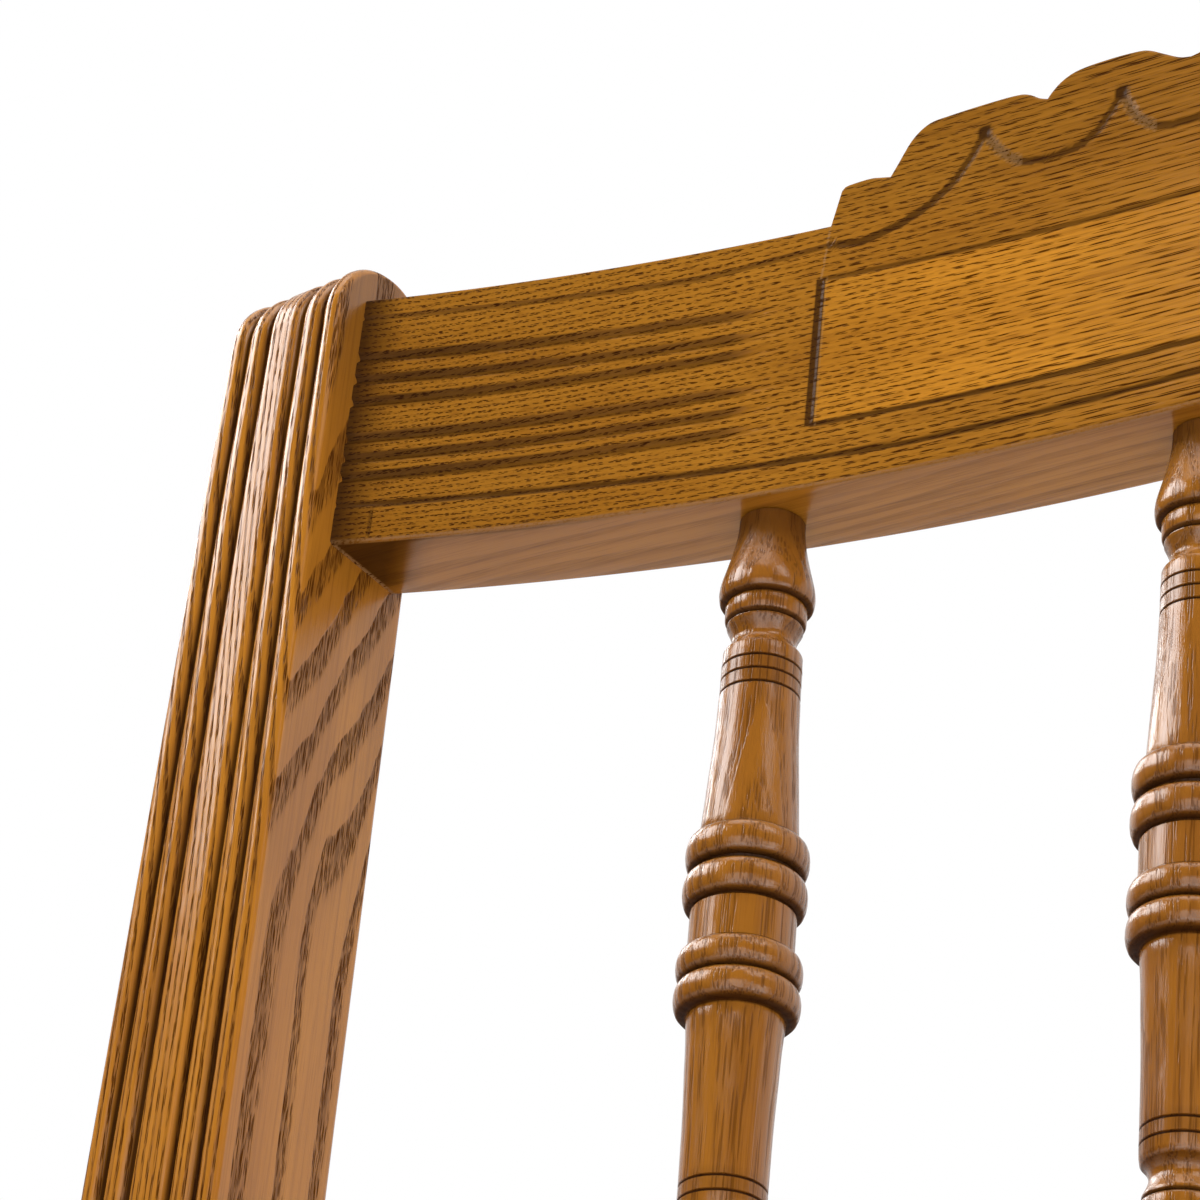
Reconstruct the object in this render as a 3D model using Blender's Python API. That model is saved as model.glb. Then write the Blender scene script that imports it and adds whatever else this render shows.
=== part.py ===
"""Pressed back chair: an oak side chair with reeded back posts, a scalloped crest rail and turned spindles.

Metres, +Z up. The chair faces -Y, stands on z = 0 and is centred on x = 0.
The back has its own frame: its origin is on the front of the crest rail, at the middle of the lower edge,
with z along the spindles. BACK turns that frame into the chair's.
"""

import math

import bmesh
import bpy
from mathutils import Matrix, Vector

# Gap between wooden pieces that touch or plug together
FIT = 0.0003

# Place and lean of the back
BACK_RAKE = math.radians(10.08)
BACK_Y = 0.20445
POST_INNER_X = 0.1851

# Spindles
SPINDLE_COUNT = 3
SPINDLE_SPACING = 0.094
SPINDLE_LENGTH = 0.1878
SPINDLE_WAIST_RADIUS = 0.0105
SPINDLE_RING_RADIUS = 0.01235
SPINDLE_RING_HALF = 0.0035
SPINDLE_RING_AT = (0.0086, 0.01615)
SPINDLE_SHAFT_RADIUS = 0.0098
SPINDLE_SLIM_RADIUS = 0.0081
SPINDLE_SLIM_DROP = 0.0417
SPINDLE_COVE_DROP = 0.0276
SPINDLE_COVE_RADIUS = 0.0069
SPINDLE_COLLAR_DROP = 0.0246
SPINDLE_COLLAR_RADIUS = 0.0081
SPINDLE_BULB_DROP = 0.0164
SPINDLE_BULB_RADIUS = 0.0098
SPINDLE_NECK_RADIUS = 0.0063
SPINDLE_TENON_RADIUS = 0.0052
SPINDLE_TENON_LENGTH = 0.014

# Crest rail and lower rail, both sawn to the same arc
RAIL_THICKNESS = 0.0234
RAIL_ARC_RADIUS = 0.635
CREST_END_HEIGHT = 0.0625
CREST_SHOULDER_HEIGHT = 0.0649
CREST_STEP_OUTER_X = 0.0805
CREST_STEP_INNER_X = 0.0786
CREST_STEP_HEIGHT = 0.0738
CREST_FIRST_NOTCH_X = 0.0677
CREST_FIRST_NOTCH_HEIGHT = 0.0747
CREST_SECOND_NOTCH_X = 0.0322
CREST_SECOND_NOTCH_HEIGHT = 0.0854
CREST_MIDDLE_NOTCH_HEIGHT = 0.0860
CREST_LOBE_HEIGHTS = (0.0755, 0.0884, 0.0915)
LOWER_RAIL_HEIGHT = 0.048
LOWER_RAIL_LIFT = 0.139

# Dowels in the rail ends
DOWEL_RADIUS = 0.0046
DOWEL_LENGTH = 0.034
CREST_DOWEL_HEIGHTS = (0.017, 0.045)
LOWER_DOWEL_HEIGHTS = (0.012, 0.036)

# Back posts, which run on as the rear legs
POST_CENTRE_Y = -0.0189
POST_LEAN = math.radians(1.06)
POST_DOME_RISE = 0.056
POST_DEPTH = 0.0345
POST_SEAT_DEPTH = 0.040
POST_FOOT_DEPTH = 0.030
POST_TOP_WIDTH = 0.0274
POST_SEAT_WIDTH = 0.039
POST_FOOT_WIDTH = 0.031
REAR_LEG_RAKE = math.radians(13.0)
BEND_ABOVE_SEAT = 0.130
BEND_BELOW_SEAT = 0.120
REED_RATIOS = (0.15, 0.35, 0.65, 0.85)
REED_GROOVE_WIDTH = 0.0036
REED_FLOOR_WIDTH = 0.0012
REED_GROOVE_DEPTH = 0.0022
REED_STOP_LIFT = 0.045
REED_FADE = 0.014

# Seat
SEAT_HEIGHT = 0.450
SEAT_THICKNESS = 0.034
SEAT_DEPTH = 0.402
SEAT_REAR_INSET = 0.003
SEAT_REAR_HALF = 0.213
SEAT_FRONT_HALF = 0.228
SEAT_CORNER_RADIUS = 0.062
SEAT_FRONT_BOW = 0.014
SEAT_EDGE_ROUND = 0.008
SEAT_DISH_DEPTH = 0.009

# Screws that hold the seat to the posts, and the plugs over their heads
SCREW_SPREAD = 0.009
SCREW_SHANK_RADIUS = 0.0024
SCREW_HEAD_RADIUS = 0.0046
SCREW_HEAD_LENGTH = 0.004
SCREW_REACH = 0.026
SCREW_POINT_LENGTH = 0.004
PLUG_RADIUS = 0.0055
PLUG_LENGTH = 0.0075

# Front legs
LEG_TOP_SIDE_INSET = 0.056
LEG_FOOT_SIDE_INSET = 0.042
LEG_TOP_INSET = 0.064
LEG_FOOT_INSET = 0.047
LEG_NECK_RADIUS = 0.0135
LEG_TENON_LENGTH = 0.023
LEG_BARREL_RADIUS = 0.0185
LEG_BARREL_BOTTOM = 0.108
LEG_BARREL_TOP = 0.262
LEG_BEAD_RADIUS = 0.0205
LEG_BEAD_HALF = 0.005
LEG_VASE_RADIUS = 0.0225
LEG_VASE_DROP = 0.088
LEG_COVE_RADIUS = 0.0140
LEG_ANKLE_RADIUS = 0.0115
LEG_ANKLE_HEIGHT = 0.030
LEG_TOE_RADIUS = 0.0145
LEG_SOLE_HEIGHT = 0.006
LEG_COLLAR_DROP = 0.030
LEG_VASE_SHOULDER = 0.018
LEG_TOE_HEIGHT = 0.016

# Stretchers
FRONT_STRETCHER_HEIGHTS = (0.240, 0.165)
SIDE_STRETCHER_HEIGHTS = (0.203, 0.128)
REAR_STRETCHER_HEIGHT = 0.166
STRETCHER_TENON_RADIUS = 0.0068
STRETCHER_TENON_LENGTH = 0.016
STRETCHER_SHOULDER_GAP = 0.003
STRETCHER_SWELL_RADIUS = 0.0112
STRETCHER_RING_RADIUS = 0.0132
STRETCHER_RING_HALF = 0.0042

# Glides nailed under the legs
GLIDE_HEIGHT = 0.004
GLIDE_RADIUS = 0.0095
GLIDE_EDGE = 0.0012
NAIL_RADIUS = 0.0013
NAIL_LENGTH = 0.014

# Facets
SPINDLE_SIDES = 14
LEG_SIDES = 16
STRETCHER_SIDES = 14
PIN_SIDES = 12

# Places worked out from the sizes above
CREST_BOTTOM_Z = SEAT_HEIGHT + (LOWER_RAIL_LIFT + LOWER_RAIL_HEIGHT + SPINDLE_LENGTH) * math.cos(BACK_RAKE)
BACK = Matrix.Translation((0.0, BACK_Y, CREST_BOTTOM_Z)) @ Matrix.Rotation(-BACK_RAKE, 4, "X")
LOWER_RAIL_TOP = -SPINDLE_LENGTH
LOWER_RAIL_BOTTOM = LOWER_RAIL_TOP - LOWER_RAIL_HEIGHT
SEAT_UNDERSIDE = SEAT_HEIGHT - SEAT_THICKNESS
SEAT_MIDDLE = SEAT_HEIGHT - SEAT_THICKNESS / 2
BEND_TOP = SEAT_HEIGHT + BEND_ABOVE_SEAT
BEND_BOTTOM = SEAT_HEIGHT - BEND_BELOW_SEAT
POST_ANCHOR = BACK @ Vector((0.0, POST_CENTRE_Y, 0.0))
POST_SLOPE = math.tan(BACK_RAKE - POST_LEAN)
REAR_LEG_SLOPE = -math.tan(REAR_LEG_RAKE)
DOME_Z = POST_ANCHOR.z + POST_DOME_RISE * math.cos(BACK_RAKE - POST_LEAN)
SIDES = (("left", -1), ("right", 1))


def clear_scene():
    for item in list(bpy.data.objects):
        bpy.data.objects.remove(item, do_unlink=True)


def mix(low, high, share):
    return low + (high - low) * share


def steps(low, high, count):
    return [mix(low, high, i / count) for i in range(count + 1)]


def smooth(share):
    share = min(max(share, 0.0), 1.0)
    return share * share * (3.0 - 2.0 * share)


def material(name, colour, roughness, metallic=0.0):
    """Principled material with a linear base colour."""
    made = bpy.data.materials.new(name)
    made.use_nodes = True
    shader = made.node_tree.nodes["Principled BSDF"]
    shader.inputs["Base Color"].default_value = (*colour, 1.0)
    shader.inputs["Roughness"].default_value = roughness
    shader.inputs["Metallic"].default_value = metallic
    return made


def finish(name, bm, look, matrix=None, round_angle=40.0):
    """Turn a bmesh into a named object with outward faces, smooth where it is round."""
    bmesh.ops.remove_doubles(bm, verts=bm.verts, dist=0.00001)
    bmesh.ops.recalc_face_normals(bm, faces=bm.faces)
    mesh = bpy.data.meshes.new(name)
    bm.to_mesh(mesh)
    bm.free()
    mesh.shade_smooth()
    mesh.set_sharp_from_angle(angle=math.radians(round_angle))
    made = bpy.data.objects.new(name, mesh)
    bpy.context.scene.collection.objects.link(made)
    if look is not None:
        mesh.materials.append(look)
    if matrix is not None:
        made.matrix_world = matrix
    return made


def axis_matrix(start, end):
    """Frame at start whose z axis points at end."""
    turn = (end - start).to_track_quat("Z", "Y").to_matrix().to_4x4()
    return Matrix.Translation(start) @ turn


def add_turned(bm, profile, sides, matrix):
    """Spin (distance along the axis, radius) points about the z axis of the given frame."""
    chain = [(profile[0][0], 0.0), *profile, (profile[-1][0], 0.0)]
    verts = [bm.verts.new(matrix @ Vector((radius, 0.0, along))) for along, radius in chain]
    edges = [bm.edges.new(pair) for pair in zip(verts, verts[1:])]
    centre = matrix.translation
    axis = matrix.to_3x3() @ Vector((0.0, 0.0, 1.0))
    bmesh.ops.spin(
        bm, geom=verts + edges, cent=centre, axis=axis, angle=math.tau, steps=sides, use_merge=True
    )


def turned(name, profile, start, end, sides, look):
    """Turned piece with its axis from start towards end."""
    bm = bmesh.new()
    add_turned(bm, profile, sides, Matrix.Identity(4))
    return finish(name, bm, look, axis_matrix(start, end))


def cut_level(target, height):
    """Saw a turned piece off level at a height above the floor."""
    bm = bmesh.new()
    bm.from_mesh(target.data)
    to_local = target.matrix_world.inverted()
    point = to_local @ Vector((target.location.x, target.location.y, height))
    up = to_local.to_3x3() @ Vector((0.0, 0.0, 1.0))
    everything = list(bm.verts) + list(bm.edges) + list(bm.faces)
    cut = bmesh.ops.bisect_plane(bm, geom=everything, plane_co=point, plane_no=up, clear_inner=True)
    rim = [item for item in cut["geom_cut"] if isinstance(item, bmesh.types.BMEdge)]
    bmesh.ops.contextual_create(bm, geom=rim)
    bmesh.ops.recalc_face_normals(bm, faces=bm.faces)
    bm.to_mesh(target.data)
    bm.free()


def bore(start, end, radius, sides):
    """A straight hole, as a turned cutter shape."""
    return ([(0.0, radius), ((end - start).length, radius)], axis_matrix(start, end), sides)


def cut_with(target, bm):
    """Take a closed shape away from a piece with a Boolean."""
    cutter = finish(target.name + "_cutter", bm, None)
    cutter.hide_render = True
    cutter.display_type = "WIRE"
    cut = target.modifiers.new("cut", "BOOLEAN")
    cut.operation = "DIFFERENCE"
    cut.solver = "EXACT"
    cut.object = cutter


def drill(target, bores):
    """Cut a list of turned shapes out of a piece."""
    bm = bmesh.new()
    for profile, matrix, sides in bores:
        add_turned(bm, profile, sides, matrix)
    cut_with(target, bm)


def bead(centre, half, base, crest):
    """Rounded ring on a turned profile."""
    shoulder = half * 0.55
    return [
        (centre - half, base),
        (centre - shoulder, crest),
        (centre + shoulder, crest),
        (centre + half, base),
    ]


def mirrored(half_profile):
    """Whole turned profile from its upper half, measured from the middle."""
    lower = [(-along, radius) for along, radius in reversed(half_profile)]
    return lower + half_profile


# Rails of the back


def rail_front(x):
    """Distance of the rail's front face behind its middle, in the back's frame (the ends come forward)."""
    return math.sqrt(RAIL_ARC_RADIUS ** 2 - x ** 2) - RAIL_ARC_RADIUS


def lobe(share, outer, inner, crown):
    """Height of one scallop, from its outer notch at 0 to its inner notch at 1."""
    swell = 1.0 - abs(2.0 * share - 1.0) ** 3.5
    base = mix(outer, inner, share)
    return base + (crown - base) * swell


def crest_outline():
    """Half of the crest's top edge as (x, height), from the middle to the end."""
    notches = [
        (0.0, CREST_MIDDLE_NOTCH_HEIGHT),
        (CREST_SECOND_NOTCH_X, CREST_SECOND_NOTCH_HEIGHT),
        (CREST_FIRST_NOTCH_X, CREST_FIRST_NOTCH_HEIGHT),
        (CREST_STEP_INNER_X, CREST_STEP_HEIGHT),
    ]
    counts = (10, 10, 5)
    outline = [notches[0]]
    for (near, far), crown, count in zip(zip(notches, notches[1:]), reversed(CREST_LOBE_HEIGHTS), counts):
        for i in range(1, count + 1):
            share = (1.0 - math.cos(math.pi * i / count)) / 2.0
            outline.append((mix(near[0], far[0], share), lobe(share, near[1], far[1], crown)))
    end_x = POST_INNER_X - FIT
    for x in steps(CREST_STEP_OUTER_X, end_x, 7):
        share = (x - CREST_STEP_OUTER_X) / (end_x - CREST_STEP_OUTER_X)
        outline.append((x, mix(CREST_SHOULDER_HEIGHT, CREST_END_HEIGHT, share)))
    return outline


def rail(name, outline, bottom, look):
    """Curved rail from its half outline of (x, top height), in the back's frame."""
    bm = bmesh.new()
    whole = [(-x, top) for x, top in reversed(outline[1:])] + outline
    columns = []
    for x, top in whole:
        front = rail_front(x)
        back = front + RAIL_THICKNESS
        corners = ((front, bottom), (front, top), (back, top), (back, bottom))
        columns.append([bm.verts.new((x, y, z)) for y, z in corners])
    for left, right in zip(columns, columns[1:]):
        for i in range(4):
            j = (i + 1) % 4
            bm.faces.new((left[i], left[j], right[j], right[i]))
    bm.faces.new(columns[0])
    bm.faces.new(columns[-1])
    return finish(name, bm, look, BACK)


def rail_middle(x):
    return rail_front(x) + RAIL_THICKNESS / 2


def spindle_places():
    middle = (SPINDLE_COUNT - 1) / 2
    return [(i - middle) * SPINDLE_SPACING for i in range(SPINDLE_COUNT)]


def spindle_bores(face, direction):
    """Blind holes for the spindle tenons, from a rail's face into the rail."""
    made = []
    for x in spindle_places():
        mouth = BACK @ Vector((x, rail_middle(x), face - direction * FIT))
        floor = BACK @ Vector((x, rail_middle(x), face + direction * (SPINDLE_TENON_LENGTH + FIT)))
        made.append(bore(mouth, floor, SPINDLE_TENON_RADIUS + FIT, SPINDLE_SIDES))
    return made


def dowel_axis(side, height):
    """Ends of the dowel at one height in the back's frame, from the rail outwards into the post."""
    y = rail_middle(POST_INNER_X)
    near = BACK @ Vector((side * (POST_INNER_X - DOWEL_LENGTH / 2), y, height))
    far = BACK @ Vector((side * (POST_INNER_X + DOWEL_LENGTH / 2), y, height))
    return near, far


def dowel_bore(side, height):
    near, far = dowel_axis(side, height)
    slack = (far - near).normalized() * FIT
    return bore(near - slack, far + slack, DOWEL_RADIUS + FIT, PIN_SIDES)


def dowel_heights():
    """Every dowel height in the back's frame, with the rail it belongs to."""
    crest = [("crest", height) for height in CREST_DOWEL_HEIGHTS]
    lower = [("lower", LOWER_RAIL_BOTTOM + height) for height in LOWER_DOWEL_HEIGHTS]
    return crest + lower


def make_rails(look):
    crest = rail("crest_rail", crest_outline(), 0.0, look)
    flat = [(x, LOWER_RAIL_TOP) for x in steps(0.0, POST_INNER_X - FIT, 12)]
    lower = rail("lower_rail", flat, LOWER_RAIL_BOTTOM, look)
    for target, kind, face, direction in ((crest, "crest", 0.0, 1), (lower, "lower", LOWER_RAIL_TOP, -1)):
        bores = spindle_bores(face, direction)
        heights = [height for owner, height in dowel_heights() if owner == kind]
        bores += [dowel_bore(side, height) for _, side in SIDES for height in heights]
        drill(target, bores)


def make_dowels(look):
    for side_name, side in SIDES:
        for number, (kind, height) in enumerate(dowel_heights()):
            near, far = dowel_axis(side, height)
            profile = [(0.0, DOWEL_RADIUS), (DOWEL_LENGTH, DOWEL_RADIUS)]
            place = "top" if number % 2 else "bottom"
            turned(f"{kind}_dowel_{side_name}_{place}", profile, near, far, PIN_SIDES, look)


def spindle_half():
    """Upper half of the spindle's profile, measured from its middle."""
    half = SPINDLE_LENGTH / 2 - FIT
    ring_base = SPINDLE_WAIST_RADIUS
    profile = []
    for place in SPINDLE_RING_AT:
        profile += bead(place, SPINDLE_RING_HALF, ring_base, SPINDLE_RING_RADIUS)
    profile.append((SPINDLE_RING_AT[1] + SPINDLE_RING_HALF * 1.2, SPINDLE_SHAFT_RADIUS))
    slim = half - SPINDLE_SLIM_DROP
    cove = half - SPINDLE_COVE_DROP
    collar = half - SPINDLE_COLLAR_DROP
    bulb = half - SPINDLE_BULB_DROP
    profile.append((slim, SPINDLE_SLIM_RADIUS))
    profile.append((mix(slim, cove, 0.7), SPINDLE_SLIM_RADIUS))
    profile.append((cove, SPINDLE_COVE_RADIUS))
    profile.append((collar, SPINDLE_COLLAR_RADIUS))
    profile.append((mix(collar, bulb, 0.25), SPINDLE_COVE_RADIUS))
    for turn in (20.0, 55.0, 90.0, 125.0):
        swell = math.sin(math.radians(turn))
        along = bulb - (bulb - collar) * 0.72 * math.cos(math.radians(turn))
        profile.append((along, mix(SPINDLE_COVE_RADIUS, SPINDLE_BULB_RADIUS, swell)))
    profile.append((mix(bulb, half, 0.72), SPINDLE_NECK_RADIUS))
    profile.append((half, SPINDLE_NECK_RADIUS))
    profile.append((half, SPINDLE_TENON_RADIUS))
    profile.append((half + SPINDLE_TENON_LENGTH, SPINDLE_TENON_RADIUS))
    return profile


def make_spindles(look):
    for number, x in enumerate(spindle_places(), start=1):
        middle = BACK @ Vector((x, rail_middle(x), -SPINDLE_LENGTH / 2))
        top = BACK @ Vector((x, rail_middle(x), 0.0))
        turned(f"spindle_{number}", mirrored(spindle_half()), middle, top, SPINDLE_SIDES, look)


# Back posts


def bend_reach(z):
    """Integral of the smooth change of slope, from the lower end of the bend up to z."""
    span = BEND_TOP - BEND_BOTTOM
    share = min(max((z - BEND_BOTTOM) / span, 0.0), 1.0)
    return span * (share ** 3 - share ** 4 / 2.0) + max(z - BEND_TOP, 0.0)


def post_y(z):
    """Middle of the post, front to back, at a height above the floor."""
    rise = bend_reach(z) - bend_reach(POST_ANCHOR.z)
    return POST_ANCHOR.y + REAR_LEG_SLOPE * (z - POST_ANCHOR.z) + (POST_SLOPE - REAR_LEG_SLOPE) * rise


def post_slope(z):
    return mix(REAR_LEG_SLOPE, POST_SLOPE, smooth((z - BEND_BOTTOM) / (BEND_TOP - BEND_BOTTOM)))


def post_depth(z):
    if z < SEAT_MIDDLE:
        return mix(POST_FOOT_DEPTH, POST_SEAT_DEPTH, smooth(z / SEAT_MIDDLE))
    return mix(POST_SEAT_DEPTH, POST_DEPTH, smooth((z - SEAT_MIDDLE) / (BEND_TOP - SEAT_MIDDLE)))


def post_width(z):
    if z < SEAT_MIDDLE:
        return mix(POST_FOOT_WIDTH, POST_SEAT_WIDTH, z / SEAT_MIDDLE)
    return mix(POST_SEAT_WIDTH, POST_TOP_WIDTH, (z - SEAT_MIDDLE) / (DOME_Z + POST_DEPTH / 2 - SEAT_MIDDLE))


def post_point(z, out):
    """Point of the side view, out in front of the post's middle line, square to that line."""
    slope = post_slope(z)
    length = math.hypot(1.0, slope)
    return post_y(z) - out / length, z + out * slope / length


def post_foot_point(z, out):
    """Point of the foot, which is sawn level."""
    return post_y(z) - out * math.hypot(1.0, post_slope(z)), z


def dome_point(turn, radius):
    """Point on the half-round top: turn 0 is its front, a half turn its back."""
    slope = POST_SLOPE
    length = math.hypot(1.0, slope)
    out = radius * math.cos(turn)
    up = radius * math.sin(turn)
    return post_y(DOME_Z) + (up * slope - out) / length, DOME_Z + (up + out * slope) / length


def post_heights():
    """Heights of the plain stations and of the reeded ones."""
    stop = SEAT_HEIGHT + REED_STOP_LIFT
    foot = GLIDE_HEIGHT + FIT
    plain = [foot, *steps(BEND_BOTTOM / 3, BEND_BOTTOM, 2), *steps(BEND_BOTTOM, stop, 7)[1:]]
    reeded = [*steps(stop + REED_FADE, BEND_TOP, 4), DOME_Z]
    return plain, reeded


def reed_columns(width):
    """Places across the post's face and the share of the groove depth there."""
    columns = [(0.0, 0.0)]
    for place in REED_RATIOS:
        middle = place * width
        columns.append((middle - REED_GROOVE_WIDTH / 2, 0.0))
        columns.append((middle - REED_FLOOR_WIDTH / 2, 1.0))
        columns.append((middle + REED_FLOOR_WIDTH / 2, 1.0))
        columns.append((middle + REED_GROOVE_WIDTH / 2, 0.0))
    return columns + [(width, 0.0)]


def skin(bm, lower, upper):
    """Faces between two rows of points; a plain row meets a reeded one in a single face."""
    if len(lower) == len(upper):
        for i in range(len(lower) - 1):
            bm.faces.new((lower[i], lower[i + 1], upper[i + 1], upper[i]))
    else:
        bm.faces.new(lower + upper[::-1])


def make_post(name, side, look):
    """One back post: reeded front, half-round top, plain leg below the seat."""
    bm = bmesh.new()

    def row(columns, point):
        made = []
        for across, share in columns:
            y, z = point(share)
            made.append(bm.verts.new((side * (POST_INNER_X + across), y, z)))
        return made

    def plain_columns(z):
        return [(0.0, 0.0), (post_width(z), 0.0)]

    plain, reeded = post_heights()
    fronts = []
    backs = []
    for z in plain + reeded:
        half = post_depth(z) / 2
        place = post_foot_point if z == plain[0] else post_point
        grooved = z in reeded or z == plain[-1]
        depth = REED_GROOVE_DEPTH if z in reeded else 0.0
        columns = reed_columns(post_width(z)) if grooved else plain_columns(z)
        fronts.append(row(columns, lambda share: place(z, half - share * depth)))
        backs.append(row(plain_columns(z), lambda share: place(z, -half)))
    radius = POST_DEPTH / 2
    for degrees in (18, 36, 54, 72):
        turn = math.radians(degrees)
        depth = REED_GROOVE_DEPTH * math.cos(turn)
        z = dome_point(turn, radius)[1]
        columns = reed_columns(post_width(z))
        fronts.append(row(columns, lambda share: dome_point(turn, radius - share * depth)))
        backs.append(row(plain_columns(z), lambda share: dome_point(math.pi - turn, radius)))
    crown_z = dome_point(math.pi / 2, radius)[1]
    crown = row(reed_columns(post_width(crown_z)), lambda share: dome_point(math.pi / 2, radius))

    for rows in (fronts, backs):
        for lower, upper in zip(rows, rows[1:] + [crown]):
            skin(bm, lower, upper)
    for edge in (0, -1):
        for i in range(len(fronts) - 1):
            bm.faces.new((fronts[i][edge], fronts[i + 1][edge], backs[i + 1][edge], backs[i][edge]))
        bm.faces.new((fronts[-1][edge], crown[edge], backs[-1][edge]))
    bm.faces.new((fronts[0][0], fronts[0][-1], backs[0][-1], backs[0][0]))
    return finish(name, bm, look, round_angle=25.0)


def post_notch(bm, side):
    """The post's own shape at the seat, grown by the fit, for the notch in the seat."""
    rows = []
    plain, _ = post_heights()
    for z in plain[2:]:
        half = post_depth(z) / 2 + FIT
        width = post_width(z) + SEAT_EDGE_ROUND
        corners = [post_point(z, half), post_point(z, half), post_point(z, -half), post_point(z, -half)]
        across = (-FIT, width, width, -FIT)
        rows.append([bm.verts.new((side * (POST_INNER_X + a), y, h)) for a, (y, h) in zip(across, corners)])
    for lower, upper in zip(rows, rows[1:]):
        for i in range(4):
            j = (i + 1) % 4
            bm.faces.new((lower[i], lower[j], upper[j], upper[i]))
    bm.faces.new(rows[0])
    bm.faces.new(rows[-1])


def post_middle_x(z):
    return POST_INNER_X + post_width(z) / 2


# Seat


def seat_rear_y():
    return post_y(SEAT_MIDDLE) + POST_SEAT_DEPTH / 2 - SEAT_REAR_INSET


def seat_front_y():
    return seat_rear_y() - SEAT_DEPTH


def seat_outline():
    """Outline of the seat seen from above, from the rear right corner round by the front."""
    rear = seat_rear_y()
    front = seat_front_y() + SEAT_FRONT_BOW
    corner = front + SEAT_CORNER_RADIUS
    half = []
    for y in steps(rear, corner, 6):
        half.append((mix(SEAT_FRONT_HALF, SEAT_REAR_HALF, (y - corner) / (rear - corner)), y))
    for i in range(1, 7):
        turn = math.radians(15.0 * i)
        x = SEAT_FRONT_HALF - SEAT_CORNER_RADIUS * (1.0 - math.cos(turn))
        half.append((x, corner - SEAT_CORNER_RADIUS * math.sin(turn)))
    straight = SEAT_FRONT_HALF - SEAT_CORNER_RADIUS
    for x in (straight * 2 / 3, straight / 3):
        half.append((x, front - SEAT_FRONT_BOW * (1.0 - (x / straight) ** 2)))
    middle = [(0.0, front - SEAT_FRONT_BOW)]
    left = [(-x, y) for x, y in reversed(half)]
    return half + middle + left


def seat_ring(bm, outline, inset, z):
    """Ring of points drawn in from the outline by a distance."""
    rear = seat_rear_y()
    centre = Vector((0.0, rear - SEAT_DEPTH / 2))
    ring = []
    for x, y in outline:
        towards = centre - Vector((x, y))
        pulled = Vector((x, y)) + towards.normalized() * min(inset, towards.length)
        ring.append(bm.verts.new((pulled.x, pulled.y, z)))
    return ring


def make_seat(look):
    """Dished plank with rounded edges, notched around the posts."""
    bm = bmesh.new()
    outline = seat_outline()
    reach = SEAT_DEPTH / 2
    dish = [(mix(SEAT_EDGE_ROUND, reach, share), SEAT_HEIGHT - SEAT_DISH_DEPTH * smooth((share - 0.12) / 0.5))
            for share in (0.0, 0.14, 0.28, 0.44, 0.62)]
    levels = [
        (SEAT_EDGE_ROUND, SEAT_UNDERSIDE),
        (0.0, SEAT_UNDERSIDE + SEAT_EDGE_ROUND),
        (0.0, SEAT_HEIGHT - SEAT_EDGE_ROUND),
        (SEAT_EDGE_ROUND * 0.3, SEAT_HEIGHT - SEAT_EDGE_ROUND * 0.3),
        *dish,
    ]
    rings = [seat_ring(bm, outline, inset, z) for inset, z in levels]
    for lower, upper in zip(rings, rings[1:]):
        for i in range(len(outline)):
            j = (i + 1) % len(outline)
            bm.faces.new((lower[i], lower[j], upper[j], upper[i]))
    bm.faces.new(rings[0])
    bm.faces.new(rings[-1])
    seat = finish("seat", bm, look, round_angle=35.0)
    notches = bmesh.new()
    for _, side in SIDES:
        post_notch(notches, side)
    cut_with(seat, notches)
    bores = [leg_socket(side) for _, side in SIDES]
    bores += [screw_bore(side, place) for _, side in SIDES for place in screw_places()]
    drill(seat, bores)


# Seat screws and plugs


def screw_places():
    """Distances from front to back of the two screws in a post."""
    return [post_y(SEAT_MIDDLE) + SCREW_SPREAD * sign for sign in (-1, 1)]


def screw_axis(side, y):
    """From the post's outer face inwards to the screw's tip."""
    outer = POST_INNER_X + post_width(SEAT_MIDDLE)
    start = Vector((side * outer, y, SEAT_MIDDLE))
    tip = Vector((side * (POST_INNER_X - SCREW_REACH), y, SEAT_MIDDLE))
    return start, tip


def screw_bore(side, y):
    """Counterbored hole: room for the plug and the head, then for the shank."""
    start, tip = screw_axis(side, y)
    length = (tip - start).length
    wide = PLUG_RADIUS + FIT
    slim = SCREW_SHANK_RADIUS + FIT
    seat_of_head = PLUG_LENGTH + SCREW_HEAD_LENGTH + 2 * FIT
    profile = [(-2 * FIT, wide), (seat_of_head, wide), (seat_of_head, slim), (length + FIT, slim)]
    return profile, axis_matrix(start, tip), PIN_SIDES


def make_screws(steel, plug_look):
    for side_name, side in SIDES:
        for place_name, y in zip(("front", "rear"), screw_places()):
            start, tip = screw_axis(side, y)
            length = (tip - start).length
            plug = [(0.0, PLUG_RADIUS), (PLUG_LENGTH, PLUG_RADIUS)]
            turned(f"screw_plug_{side_name}_{place_name}", plug, start, tip, PIN_SIDES, plug_look)
            head = PLUG_LENGTH + FIT
            neck = head + SCREW_HEAD_LENGTH
            screw = [
                (head, SCREW_HEAD_RADIUS),
                (neck, SCREW_HEAD_RADIUS),
                (neck, SCREW_SHANK_RADIUS),
                (length - SCREW_POINT_LENGTH, SCREW_SHANK_RADIUS),
                (length, SCREW_SHANK_RADIUS * 0.3),
            ]
            turned(f"seat_screw_{side_name}_{place_name}", screw, start, tip, PIN_SIDES, steel)


# Front legs


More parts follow.
